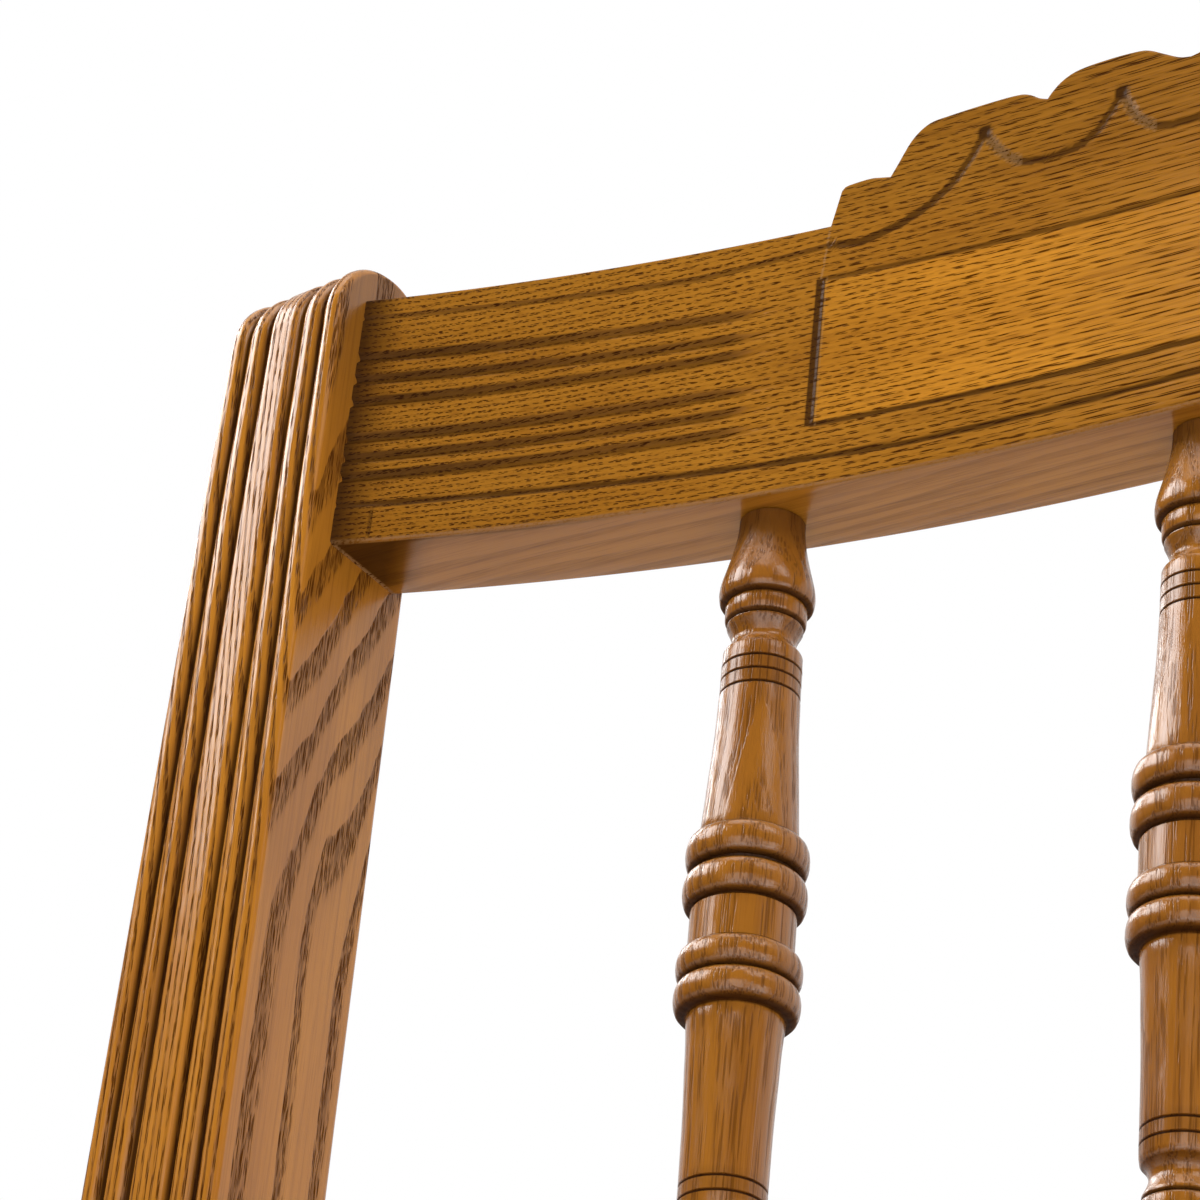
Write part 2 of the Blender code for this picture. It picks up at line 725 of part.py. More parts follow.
def leg_point(side, z):
    """Point on a front leg's axis at a height."""
    share = z / SEAT_UNDERSIDE
    y = seat_front_y()
    foot = Vector((side * (SEAT_FRONT_HALF - LEG_FOOT_SIDE_INSET), y + LEG_FOOT_INSET, 0.0))
    top = Vector((side * (SEAT_FRONT_HALF - LEG_TOP_SIDE_INSET), y + LEG_TOP_INSET, SEAT_UNDERSIDE))
    return foot.lerp(top, share)


def leg_socket(side):
    """Blind hole in the seat's underside for a leg's top."""
    start = leg_point(side, SEAT_UNDERSIDE - SEAT_EDGE_ROUND)
    end = leg_point(side, SEAT_UNDERSIDE + LEG_TENON_LENGTH + FIT)
    return bore(start, end, LEG_NECK_RADIUS + FIT, LEG_SIDES)


def leg_profile():
    """Turned front leg, measured up from the floor."""
    top = SEAT_UNDERSIDE + LEG_TENON_LENGTH
    vase = SEAT_UNDERSIDE - LEG_VASE_DROP
    upper_bead = LEG_BARREL_TOP + LEG_BEAD_HALF
    collar = SEAT_UNDERSIDE - LEG_COLLAR_DROP
    profile = [(0.0, LEG_ANKLE_RADIUS), (LEG_SOLE_HEIGHT, LEG_ANKLE_RADIUS)]
    profile += [(LEG_TOE_HEIGHT, LEG_TOE_RADIUS), (LEG_ANKLE_HEIGHT, LEG_ANKLE_RADIUS)]
    profile.append((LEG_BARREL_BOTTOM - 2 * LEG_BEAD_HALF, LEG_BARREL_RADIUS * 0.92))
    profile += bead(LEG_BARREL_BOTTOM - LEG_BEAD_HALF, LEG_BEAD_HALF, LEG_BARREL_RADIUS, LEG_BEAD_RADIUS)
    profile += bead(upper_bead, LEG_BEAD_HALF, LEG_BARREL_RADIUS, LEG_BEAD_RADIUS)
    profile.append((upper_bead + 2.2 * LEG_BEAD_HALF, LEG_COVE_RADIUS))
    profile += [(mix(upper_bead, vase, 0.55), mix(LEG_COVE_RADIUS, LEG_VASE_RADIUS, 0.55))]
    profile += [(vase, LEG_VASE_RADIUS), (vase + LEG_VASE_SHOULDER, LEG_VASE_RADIUS * 0.93)]
    profile.append((collar - 2.2 * LEG_BEAD_HALF, LEG_COVE_RADIUS))
    profile += bead(collar, LEG_BEAD_HALF, LEG_COVE_RADIUS, LEG_BEAD_RADIUS)
    profile.append((collar + 2.4 * LEG_BEAD_HALF, LEG_NECK_RADIUS))
    profile.append((top, LEG_NECK_RADIUS))
    tilt = (leg_point(1, SEAT_UNDERSIDE) - leg_point(1, 0.0)).length / SEAT_UNDERSIDE
    return [(along * tilt, radius) for along, radius in profile]


def make_legs(look):
    for side_name, side in SIDES:
        foot = leg_point(side, 0.0)
        top = leg_point(side, SEAT_UNDERSIDE)
        leg = turned(f"front_leg_{side_name}", leg_profile(), foot, top, LEG_SIDES, look)
        cut_level(leg, GLIDE_HEIGHT + FIT)
        bores = [front_stretcher_bore(side, z) for z in FRONT_STRETCHER_HEIGHTS]
        bores += [side_stretcher_bores(side, z)[0] for z in SIDE_STRETCHER_HEIGHTS]
        bores.append(nail_bore(leg_point(side, 0.0)))
        drill(leg, bores)


# Stretchers


def stretcher_profile(first, last, fancy):
    """Turned bar between two shoulders; tenons run on at both ends."""
    start = first - STRETCHER_TENON_LENGTH
    end = last + STRETCHER_TENON_LENGTH
    near = first + STRETCHER_SHOULDER_GAP
    far = last - STRETCHER_SHOULDER_GAP
    middle = (near + far) / 2
    slim = STRETCHER_TENON_RADIUS
    swell = STRETCHER_SWELL_RADIUS
    profile = [(start, slim), (near, slim)]
    if fancy:
        quarter = (far - near) / 4
        for centre, base in ((near + quarter, swell * 0.86), (middle, swell), (far - quarter, swell * 0.86)):
            profile += bead(centre, STRETCHER_RING_HALF, base, STRETCHER_RING_RADIUS)
    else:
        for share in (0.25, 0.5, 0.75):
            radius = mix(slim, swell, math.sin(math.pi * share))
            profile.append((mix(near, far, share), radius))
    return profile + [(far, slim), (end, slim)]


def tenon_bore(axis_start, axis_end, face):
    """Hole for a tenon that goes in at a face, a distance along the axis, and runs on past it."""
    along = (axis_end - axis_start).normalized()
    mouth = axis_start + along * (face - STRETCHER_SHOULDER_GAP)
    floor = axis_start + along * (face + STRETCHER_TENON_LENGTH + FIT)
    return bore(mouth, floor, STRETCHER_TENON_RADIUS + FIT, STRETCHER_SIDES)


def front_stretcher_axis(z):
    return leg_point(-1, z), leg_point(1, z)


def front_stretcher_bore(side, z):
    start, end = front_stretcher_axis(z)
    length = (end - start).length
    if side < 0:
        start, end = end, start
    return tenon_bore(start, end, length - LEG_BARREL_RADIUS)


def side_stretcher_axis(side, z):
    """From the front leg's axis to the front face of the rear leg."""
    front = leg_point(side, z)
    face_y = post_foot_point(z, post_depth(z) / 2)[0]
    return front, Vector((side * post_middle_x(z), face_y, z))


def side_stretcher_bores(side, z):
    start, end = side_stretcher_axis(side, z)
    length = (end - start).length
    in_leg = tenon_bore(end, start, length - LEG_BARREL_RADIUS)
    in_post = tenon_bore(start, end, length)
    return in_leg, in_post


def rear_stretcher_axis():
    z = REAR_STRETCHER_HEIGHT
    return Vector((-POST_INNER_X, post_y(z), z)), Vector((POST_INNER_X, post_y(z), z))


def rear_stretcher_bore(side):
    start, end = rear_stretcher_axis()
    if side < 0:
        start, end = end, start
    return tenon_bore(start, end, (end - start).length)


def make_stretchers(look):
    for place, z in zip(("upper", "lower"), FRONT_STRETCHER_HEIGHTS):
        start, end = front_stretcher_axis(z)
        length = (end - start).length
        profile = stretcher_profile(LEG_BARREL_RADIUS, length - LEG_BARREL_RADIUS, True)
        turned(f"front_stretcher_{place}", profile, start, end, STRETCHER_SIDES, look)
    for side_name, side in SIDES:
        for place, z in zip(("upper", "lower"), SIDE_STRETCHER_HEIGHTS):
            start, end = side_stretcher_axis(side, z)
            profile = stretcher_profile(LEG_BARREL_RADIUS, (end - start).length, False)
            turned(f"side_stretcher_{side_name}_{place}", profile, start, end, STRETCHER_SIDES, look)
    start, end = rear_stretcher_axis()
    profile = stretcher_profile(0.0, (end - start).length, False)
    turned("rear_stretcher", profile, start, end, STRETCHER_SIDES, look)


# Glides


def nail_bore(foot):
    start = Vector((foot.x, foot.y, 0.0))
    end = Vector((foot.x, foot.y, GLIDE_HEIGHT + NAIL_LENGTH + FIT))
    return bore(start, end, NAIL_RADIUS + FIT, PIN_SIDES)


def post_foot(side):
    z = GLIDE_HEIGHT + FIT
    return Vector((side * post_middle_x(z), post_y(z), 0.0))


def make_glides(look):
    profile = [
        (0.0, GLIDE_RADIUS - GLIDE_EDGE),
        (GLIDE_EDGE, GLIDE_RADIUS),
        (GLIDE_HEIGHT, GLIDE_RADIUS),
        (GLIDE_HEIGHT, NAIL_RADIUS),
        (GLIDE_HEIGHT + NAIL_LENGTH, NAIL_RADIUS * 0.4),
    ]
    for side_name, side in SIDES:
        for place, foot in (("front", leg_point(side, 0.0)), ("rear", post_foot(side))):
            above = foot + Vector((0.0, 0.0, 1.0))
            turned(f"glide_{place}_{side_name}", profile, foot, above, PIN_SIDES, look)


def make_posts(look):
    for side_name, side in SIDES:
        post = make_post(f"back_post_{side_name}", side, look)
        bores = [dowel_bore(side, height) for _, height in dowel_heights()]
        bores += [screw_bore(side, place) for place in screw_places()]
        bores += [side_stretcher_bores(side, z)[1] for z in SIDE_STRETCHER_HEIGHTS]
        bores.append(rear_stretcher_bore(side))
        bores.append(nail_bore(post_foot(side)))
        drill(post, bores)


def main():
    clear_scene()
    oak = material("oak_golden_lacquer", (0.40, 0.19, 0.045), 0.32)
    oak_turned = material("oak_turned_lacquer", (0.36, 0.16, 0.045), 0.30)
    oak_seat = material("oak_seat_lacquer", (0.38, 0.18, 0.045), 0.34)
    beech = material("beech_dowel", (0.56, 0.37, 0.20), 0.6)
    steel = material("screw_steel", (0.42, 0.42, 0.42), 0.4, 1.0)
    nylon = material("glide_nylon", (0.20, 0.12, 0.07), 0.5)
    make_rails(oak)
    make_dowels(beech)
    make_spindles(oak_turned)
    make_posts(oak)
    make_seat(oak_seat)
    make_screws(steel, oak)
    make_legs(oak_turned)
    make_stretchers(oak_turned)
    make_glides(nylon)


main()
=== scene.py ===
"""Looks of the pressed back chair: ring-porous oak, stained golden brown, with dark glaze left in the cuts
and a gloss lacquer over it, and painted shade in the grooves, at the posts and under the rings. Metres, +Z
up, the chair faces -Y.
"""

import math
from functools import partial

import bmesh
import bpy
import numpy as np
from mathutils import Matrix, Vector


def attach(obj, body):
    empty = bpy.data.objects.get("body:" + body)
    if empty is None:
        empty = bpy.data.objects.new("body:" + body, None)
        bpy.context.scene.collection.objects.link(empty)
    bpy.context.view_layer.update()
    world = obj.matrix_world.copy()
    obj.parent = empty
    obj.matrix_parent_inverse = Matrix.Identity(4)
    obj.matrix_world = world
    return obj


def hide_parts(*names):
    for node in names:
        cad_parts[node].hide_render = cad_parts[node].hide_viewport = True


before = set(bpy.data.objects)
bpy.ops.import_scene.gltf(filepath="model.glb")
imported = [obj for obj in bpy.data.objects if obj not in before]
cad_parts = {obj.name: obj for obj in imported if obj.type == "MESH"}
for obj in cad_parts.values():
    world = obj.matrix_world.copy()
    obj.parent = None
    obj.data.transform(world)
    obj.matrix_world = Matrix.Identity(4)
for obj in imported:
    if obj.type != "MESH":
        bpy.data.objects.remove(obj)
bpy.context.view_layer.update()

# Sizes of the solids that the pieces here stand for
FIT = 0.0003
BACK_RAKE = math.radians(10.08)
BACK_Y = 0.20445
POST_INNER_X = 0.1851
SPINDLE_SPACING = 0.094
SPINDLE_LENGTH = 0.1878
RAIL_THICKNESS = 0.0234
RAIL_ARC_RADIUS = 0.635
LOWER_RAIL_HEIGHT = 0.048
LOWER_RAIL_LIFT = 0.139
POST_CENTRE_Y = -0.0189
POST_LEAN = math.radians(1.06)
POST_DOME_RISE = 0.056
POST_DEPTH = 0.0345
POST_SEAT_DEPTH = 0.040
POST_FOOT_DEPTH = 0.030
POST_TOP_WIDTH = 0.0274
POST_SEAT_WIDTH = 0.039
POST_FOOT_WIDTH = 0.031
REAR_LEG_RAKE = math.radians(13.0)
SEAT_HEIGHT = 0.450
SEAT_THICKNESS = 0.034
SEAT_DEPTH = 0.402
SEAT_REAR_HALF = 0.213
SEAT_FRONT_HALF = 0.228
SEAT_CORNER_RADIUS = 0.062
SEAT_FRONT_BOW = 0.014
SEAT_DISH_DEPTH = 0.009
SEAT_UNDERSIDE = SEAT_HEIGHT - SEAT_THICKNESS
SEAT_MIDDLE = SEAT_HEIGHT - SEAT_THICKNESS / 2
GLIDE_HEIGHT = 0.004
CREST_BOTTOM_Z = SEAT_HEIGHT + (LOWER_RAIL_LIFT + LOWER_RAIL_HEIGHT + SPINDLE_LENGTH) * math.cos(BACK_RAKE)
BACK = Matrix.Translation((0.0, BACK_Y, CREST_BOTTOM_Z)) @ Matrix.Rotation(-BACK_RAKE, 4, "X")
BEND_TOP = SEAT_HEIGHT + 0.130
BEND_BOTTOM = SEAT_HEIGHT - 0.120
POST_ANCHOR = BACK @ Vector((0.0, POST_CENTRE_Y, 0.0))
POST_SLOPE = math.tan(BACK_RAKE - POST_LEAN)
REAR_LEG_SLOPE = -math.tan(REAR_LEG_RAKE)
DOME_Z = POST_ANCHOR.z + POST_DOME_RISE * math.cos(BACK_RAKE - POST_LEAN)
SIDES = (("left", -1), ("right", 1))


def mix(low, high, share):
    return low + (high - low) * share


def smooth(share):
    share = np.clip(share, 0.0, 1.0)
    return share * share * (3.0 - 2.0 * share)


def ramp(value, start, run):
    """Soft step from 0 at the start to 1 a run further on; a run below zero goes down from the start."""
    return smooth((value - start) / run)


# Node trees

MATH = "ShaderNodeMath"
VECTOR = "ShaderNodeVectorMath"
MIX = "ShaderNodeMix"
# Inputs in order: value, from, to, result at from, result at to
RANGE = "ShaderNodeMapRange"
ATTRIBUTE = "ShaderNodeAttribute"
MODES = {MATH: "operation", VECTOR: "operation", RANGE: "interpolation_type", MIX: "data_type",
         ATTRIBUTE: "attribute_name"}
SOFT = "SMOOTHSTEP"
# Millimetres in a metre
MM = 1000.0


def linear(hex_colour):
    """Linear RGBA of an sRGB hex colour."""
    parts = [int(hex_colour[i:i + 2], 16) / 255.0 for i in (1, 3, 5)]
    return (*[c / 12.92 if c <= 0.04045 else ((c + 0.055) / 1.055) ** 2.4 for c in parts], 1.0)


def feed(sockets, values):
    """Set sockets, in order or by key, to values, or link them to the outputs of other nodes."""
    for socket, value in values.items() if isinstance(values, dict) else enumerate(values):
        if isinstance(value, bpy.types.NodeSocket):
            value.id_data.links.new(value, sockets[socket])
        else:
            sockets[socket].default_value = value


def add(tree, kind, inputs=(), mode=None, output=0):
    """Add a node in a mode, feed its inputs, and give back one of its outputs, or all of them for None."""
    made = tree.nodes.new(kind)
    if mode:
        setattr(made, MODES[kind], mode)
    feed(made.inputs, inputs)
    return made.outputs[output] if output is not None and made.outputs else made.outputs


def new_material(name):
    """Material, the adder of its nodes, and its shader."""
    made = bpy.data.materials.new(name)
    made.use_nodes = True
    return made, partial(add, made.node_tree), made.node_tree.nodes["Principled BSDF"]


def oak(name, grain, anchor, pith, ring=1.7, golden="#B57523", brown="#90551B", band=0.35, pore=0.44,
        length=18.0, open_pores=0.95, wander=4.0, relief=0.000025, sweep=(0.0, 1.0, 0.0), gloss=1.0,
        spring_end=0.75):
    """Ring-porous oak under a golden stain and gloss lacquer. The eye gets yearly rings a couple of
    millimetres wide, rows of dark open pores in each ring, fine fibre streaks, and a wet-looking shine
    that breaks up along the grain. The pattern is solid, so each face is cut from the same timber.

    grain is the fibres' direction, and pith (mm) where the anchor lies from the tree's middle. ring and
    pore are widths (mm), length a vessel's length in its widths, brown the stain where it clouds, band how
    dark early wood is, open_pores how open the lacquer leaves the pores, relief (m) how deep they are,
    gloss how full the coat is, wander (mm) how far rings stray, spring_end where in a ring the early wood
    ends, and sweep from where to where up the grain the trunk bends aside, and how far (mm).
    """
    made, node, shader = new_material(f"oak_{name}_lacquered")
    turn = Vector(grain).normalized().rotation_difference(Vector((0.0, 0.0, 1.0))).to_matrix()
    move = Vector((*pith, 0.0)) - turn @ (Vector(anchor) * MM)
    place = node("ShaderNodeTexCoord", output="Object")
    timber = node("ShaderNodeMapping", {
        "Vector": place, "Location": move, "Rotation": turn.to_euler(), "Scale": (MM,) * 3,
    })

    # Patterns, in millimetres across and along the grain
    noise = {}
    for key, across, along, detail, shift, output in (
        ("drift", 30.0, 130.0, 1.0, 0.0, "Color"),
        ("ripple", 9.0, 120.0, 2.0, 7.0, "Fac"),
        ("fibre", 0.28, 14.0, 2.0, 0.0, "Fac"),
        ("streak", 1.3, 90.0, 2.0, 3.0, "Fac"),
        ("cloud", 16.0, 70.0, 1.0, 5.0, "Fac"),
        ("torn", 0.4, 9.0, 2.0, 11.0, "Fac"),
        ("fray", 0.40, 0.90, 2.0, 9.0, "Fac"),
    ):
        cells = node("ShaderNodeMapping", {
            "Vector": timber, "Location": (shift,) * 3, "Scale": (1 / across, 1 / across, 1 / along),
        })
        noise[key] = node("ShaderNodeTexNoise", {
            "Vector": cells, "Scale": 1.0, "Detail": detail, "Roughness": 0.55,
        }, output=output)

    # Rings: distance from the pith, which wanders along the trunk
    bent = node(VECTOR, [noise["drift"], (0.5, 0.5, 0.5)], "SUBTRACT")
    bent = node(VECTOR, [bent, (wander, wander, 0.0), timber], "MULTIPLY_ADD")
    rise = node("ShaderNodeSeparateXYZ", [timber], output=2)
    start, stop, reach = sweep
    aside = node(RANGE, [rise, start, stop, 0.0, reach], SOFT)
    aside = node("ShaderNodeCombineXYZ", [aside])
    bent = node(VECTOR, [bent, aside], "ADD")
    bent = node(VECTOR, [bent, (1.0, 1.0, 0.0)], "MULTIPLY")
    radius = node(VECTOR, [bent], "LENGTH", "Value")
    years = node(MATH, [radius, ring], "DIVIDE")
    years = node(MATH, [noise["ripple"], 0.8, years], "MULTIPLY_ADD")
    season = node(MATH, [years], "FRACT")
    spring = node(RANGE, [season, 0.0, 0.06], SOFT)
    summer = node(RANGE, [season, spring_end, 0.2], SOFT)
    early = node(MATH, [spring, summer], "MULTIPLY")

    # Pores: long vessels, so a cut along the grain shows dashes and a slanting cut shows specks
    cells = node("ShaderNodeMapping", {
        "Vector": timber, "Scale": (1 / pore, 1 / pore, 1 / (pore * length)),
    })
    vessel = node("ShaderNodeTexVoronoi", {"Vector": cells, "Scale": 1.0})
    vessel = node(RANGE, [vessel, 0.52, 0.35], SOFT)
    porous = node(RANGE, [early, 0.10, 0.45, 0.04, 1.0], SOFT)
    pores = node(MATH, [vessel, porous], "MULTIPLY")
    sealed = node(ATTRIBUTE, (), "sealed", "Fac")
    still_open = node(RANGE, [sealed, 0.0, 1.0, open_pores, open_pores * 0.15])
    pores = node(MATH, [pores, still_open], "MULTIPLY")

    # Stain: each tone lies over the ones before it, from the ground to the dark of the glaze and the painted
    # shade, and the bare splinters
    # Darkening per point: real glaze in the cuts plus painted shade in grooves, corners and undersides
    glaze = node(ATTRIBUTE, (), "glaze", "Fac")
    wear = node(ATTRIBUTE, (), "wear", "Fac")
    share = {}
    for key, *limits in (
        ("torn", 0.35, 0.60, 0.3, 1.0),
        ("fray", 0.36, 0.50, 0.0, 1.0),
        ("cloud", 0.30, 0.70, 0.0, 0.40),
        ("streak", 0.45, 0.80, 0.0, 0.35),
        ("fibre", 0.50, 0.80, 0.0, 0.30),
    ):
        share[key] = node(RANGE, [noise[key], *limits], SOFT)
    torn = node(MATH, [share["torn"], band], "MULTIPLY")
    torn = node(MATH, [early, torn], "MULTIPLY")
    frayed = node(MATH, [share["fray"], wear], "MULTIPLY")
    colour = linear(golden)
    for amount, tone in ((share["cloud"], brown), (torn, "#532E11"), (share["streak"], "#6F3E12"),
                         (share["fibre"], "#5F350E"), (pores, "#452003"), (glaze, "#301B0D"),
                         (frayed, "#A07A4D")):
        colour = node(MIX, {0: amount, 6: colour, 7: linear(tone)}, "RGBA", 2)

    # Relief and lacquer: pores and early wood lie lower, and they and the areas of glaze and painted shade
    # take less shine
    height = node(MATH, [pores, -0.8], "MULTIPLY")
    height = node(MATH, [noise["fibre"], 0.7, height], "MULTIPLY_ADD")
    height = node(MATH, [early, -0.5, height], "MULTIPLY_ADD")
    bump = node("ShaderNodeBump", {"Height": height, "Strength": 1.0, "Distance": relief})
    full = node(RANGE, [sealed, 0.0, 1.0, gloss, 1.0])
    shine = node(RANGE, [glaze, 0.35, 0.75, full, 0.12], SOFT)
    dulled = node(MATH, [torn, -0.6, 1.0], "MULTIPLY_ADD")
    dulled = node(MATH, [pores, -0.9, dulled], "MULTIPLY_ADD")
    dulled = node(MATH, [dulled, 0.0], "MAXIMUM")
    shine = node(MATH, [shine, dulled], "MULTIPLY")
    feed(shader.inputs, {
        "Base Color": colour, "Roughness": 0.6, "Specular IOR Level": 0.0, "Normal": bump,
        "Coat Weight": shine, "Coat Roughness": 0.15, "Coat IOR": 1.5, "Coat Normal": bump,
    })
    return made


# Meshes

MERGE_DISTANCE = 0.000004


def in_scene(name, data):
    """New object with this data, in the scene."""
    made = bpy.data.objects.new(name, data)
    bpy.context.scene.collection.objects.link(made)
    return made


def piece(name, verts, faces, look, attributes=None, sharp=38.0, matrix=None):
    """A finished piece, at the origin."""
    mesh = bpy.data.meshes.new(name)
    mesh.from_pydata([tuple(v) for v in verts], [], faces)
    for key, values in (attributes or {}).items():
        layer = mesh.attributes.new(key, "FLOAT", "POINT")
        layer.data.foreach_set("value", np.asarray(values, np.float32))
    if matrix is not None:
        mesh.transform(matrix)
    made = place_mesh(name, mesh, look, sharp)
    face_out(mesh)
    return made


def place_mesh(name, mesh, look, sharp):
    """Object at the origin with its finish; edges sharper than the given angle stay crisp."""
    mesh.shade_smooth()
    mesh.set_sharp_from_angle(angle=math.radians(sharp))
    mesh.materials.clear()
    mesh.materials.append(look)
    return in_scene(name, mesh)


def face_out(mesh):
    """Turn every face outwards, after merging what touches."""
    bm = bmesh.new()
    bm.from_mesh(mesh)
    bmesh.ops.remove_doubles(bm, verts=bm.verts, dist=MERGE_DISTANCE)
    bmesh.ops.recalc_face_normals(bm, faces=bm.faces)
    bm.to_mesh(mesh)
    bm.free()


def dress(made, slot, *nodes):
    """Let a piece stand for its solids: hang it on the root and hide them; slot is not used."""
    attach(made, "root")
    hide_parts(*nodes)


def grid_faces(rows, columns, closed):
    """Quads over rows of points; closed joins the last column to the first."""
    faces = []
    for i in range(rows - 1):
        for j in range(columns if closed else columns - 1):
            k = (j + 1) % columns
            faces.append((i * columns + j, i * columns + k, (i + 1) * columns + k, (i + 1) * columns + j))
    return faces


def capped(loops):
    """Faces of a closed skin over loops of equal size, with a cap at each end."""
    size = len(loops[0])
    count = len(loops)
    ends = [tuple(range(size)), tuple(range((count - 1) * size, count * size))]
    return grid_faces(count, size, True) + ends


# Back posts

POST_SWELL = 0.0012
POST_SWELL_RUN = 0.15
POST_BACK_SWELL = ((SEAT_HEIGHT, 0.0), (0.60, 0.0016), (0.70, 0.0013), (DOME_Z, 0.0013))
INNER_REED, MIDDLE_REED, OUTER_REED = 0, 2, 4
REED_EDGES = (0.0, 0.15, 0.35, 0.65, 0.85, 1.0)
REED_STEPS = 14
REED_DEPTH = 0.0024
REED_STOP = SEAT_HEIGHT + 0.045
REED_FADE = 0.014
REED_DOME_STOP = math.radians(112.0)
REED_DOME_FADE = math.radians(34.0)
INNER_SETBACK = 0.22
MIDDLE_FLAT = 0.66
MIDDLE_ROUNDING = 1.8
FLANK_SLOPE = 0.30
FLANK_POWER = 6
# Glaze with painted shade in the reeds' grooves: how dark, over which run of depth, and at which depth it
# starts on the lit outer flank and on the inner flank
REED_GLAZE_AND_SHADE = 0.90
REED_GLAZE_AND_SHADE_RUN = 0.35
OUTER_FLANK_SHADE_START = 0.55
INNER_FLANK_SHADE_START = 0.25
ARRIS_SHARE = 0.045
DOME_DROP = 0.0031
DOME_DROP_POWER = 0.6
DOME_DROP_RUN = 0.045
DOME_STEPS = 48
SIDE_SHARES = (0.0, 0.04, 0.5, 0.96, 1.0)
# Painted shade on the posts' sides, darker up where the crest rail shades them: how dark, from which height,
# over which run
SIDE_PAINTED_SHADE = ((0.14, 0.70, 0.07), (0.30, 0.835, 0.045))
# Runs of rows up a post: from, to, how many
POST_ROWS = (
    (0.02, BEND_BOTTOM, 36),
    (BEND_BOTTOM, REED_STOP - 0.004, 34),
    (REED_STOP, REED_STOP + REED_FADE, 8),
    (REED_STOP + REED_FADE, BEND_TOP, 14),
    (BEND_TOP, DOME_Z, 60),
)


def bend_reach(z):
    """Integral of the bend's share from its lower end up to a height."""
    span = BEND_TOP - BEND_BOTTOM
    share = min(max((z - BEND_BOTTOM) / span, 0.0), 1.0)
    return span * (share ** 3 - share ** 4 / 2.0) + max(z - BEND_TOP, 0.0)


def post_y(z):
    rise = bend_reach(z) - bend_reach(POST_ANCHOR.z)
    return POST_ANCHOR.y + REAR_LEG_SLOPE * (z - POST_ANCHOR.z) + (POST_SLOPE - REAR_LEG_SLOPE) * rise


def post_slope(z):
    return mix(REAR_LEG_SLOPE, POST_SLOPE, float(ramp(z, BEND_BOTTOM, BEND_TOP - BEND_BOTTOM)))


def post_depth(z):
    if z < SEAT_MIDDLE:
        return mix(POST_FOOT_DEPTH, POST_SEAT_DEPTH, float(smooth(z / SEAT_MIDDLE)))
    return mix(POST_SEAT_DEPTH, POST_DEPTH, float(ramp(z, SEAT_MIDDLE, BEND_TOP - SEAT_MIDDLE)))


def post_width(z):
    if z < SEAT_MIDDLE:
        return mix(POST_FOOT_WIDTH, POST_SEAT_WIDTH, z / SEAT_MIDDLE)
    return mix(POST_SEAT_WIDTH, POST_TOP_WIDTH, (z - SEAT_MIDDLE) / (DOME_Z + POST_DEPTH / 2 - SEAT_MIDDLE))


def post_front_y(z):
    return post_y(z) - post_depth(z) / 2 * math.hypot(1.0, post_slope(z))


def seen_width(z):
    """Width in the photograph, a little more than the solid's above the seat."""
    return post_width(z) + POST_SWELL * float(ramp(z, SEAT_HEIGHT, POST_SWELL_RUN))


def seen_back(z):
    """How far the back face stands behind the solid's, as in the photograph."""
    return float(np.interp(z, *zip(*POST_BACK_SWELL)))


def reed_cut(number, s):
    """Depth (0 to 1) across one reed, from -1 at its inner edge to 1 at its outer edge."""
    if number == INNER_REED and s < 0:
        return -INNER_SETBACK * s
    if number == OUTER_REED and s > 0:
        return 0.0
    if number == MIDDLE_REED:
        return max((abs(s) - MIDDLE_FLAT) / (1.0 - MIDDLE_FLAT), 0.0) ** MIDDLE_ROUNDING
    if s > 0:
        return FLANK_SLOPE * s + (1.0 - FLANK_SLOPE) * s ** FLANK_POWER
    return s * s


def reed_profile():
    """Places across the post's face as shares of its width, the depth of the reeding there (0 to 1), and the
    darkening there: glaze with painted shade, which starts deeper on each reed's outer flank, lit on the left
    post."""
    across = []
    depth = []
    dark = []
    for number, (low, high) in enumerate(zip(REED_EDGES, REED_EDGES[1:])):
        for i in range(REED_STEPS + (high == 1.0)):
            s = -math.cos(math.pi * i / REED_STEPS)
            cut = reed_cut(number, s)
            shade_start = OUTER_FLANK_SHADE_START if s > 0 else INNER_FLANK_SHADE_START
            across.append(mix(low, high, (s + 1.0) / 2.0))
            depth.append(cut)
            dark.append(REED_GLAZE_AND_SHADE * min(max((cut - shade_start) / REED_GLAZE_AND_SHADE_RUN, 0.0), 1.0))
    return np.array(across), np.array(depth), np.array(dark)


def arris(across):
    """How far the edges are eased, as a share of the easing radius."""
    edge = np.minimum(across, 1.0 - across) / ARRIS_SHARE
    inside = np.clip(1.0 - edge, 0.0, 1.0)
    return 1.0 - np.sqrt(1.0 - inside ** 2)


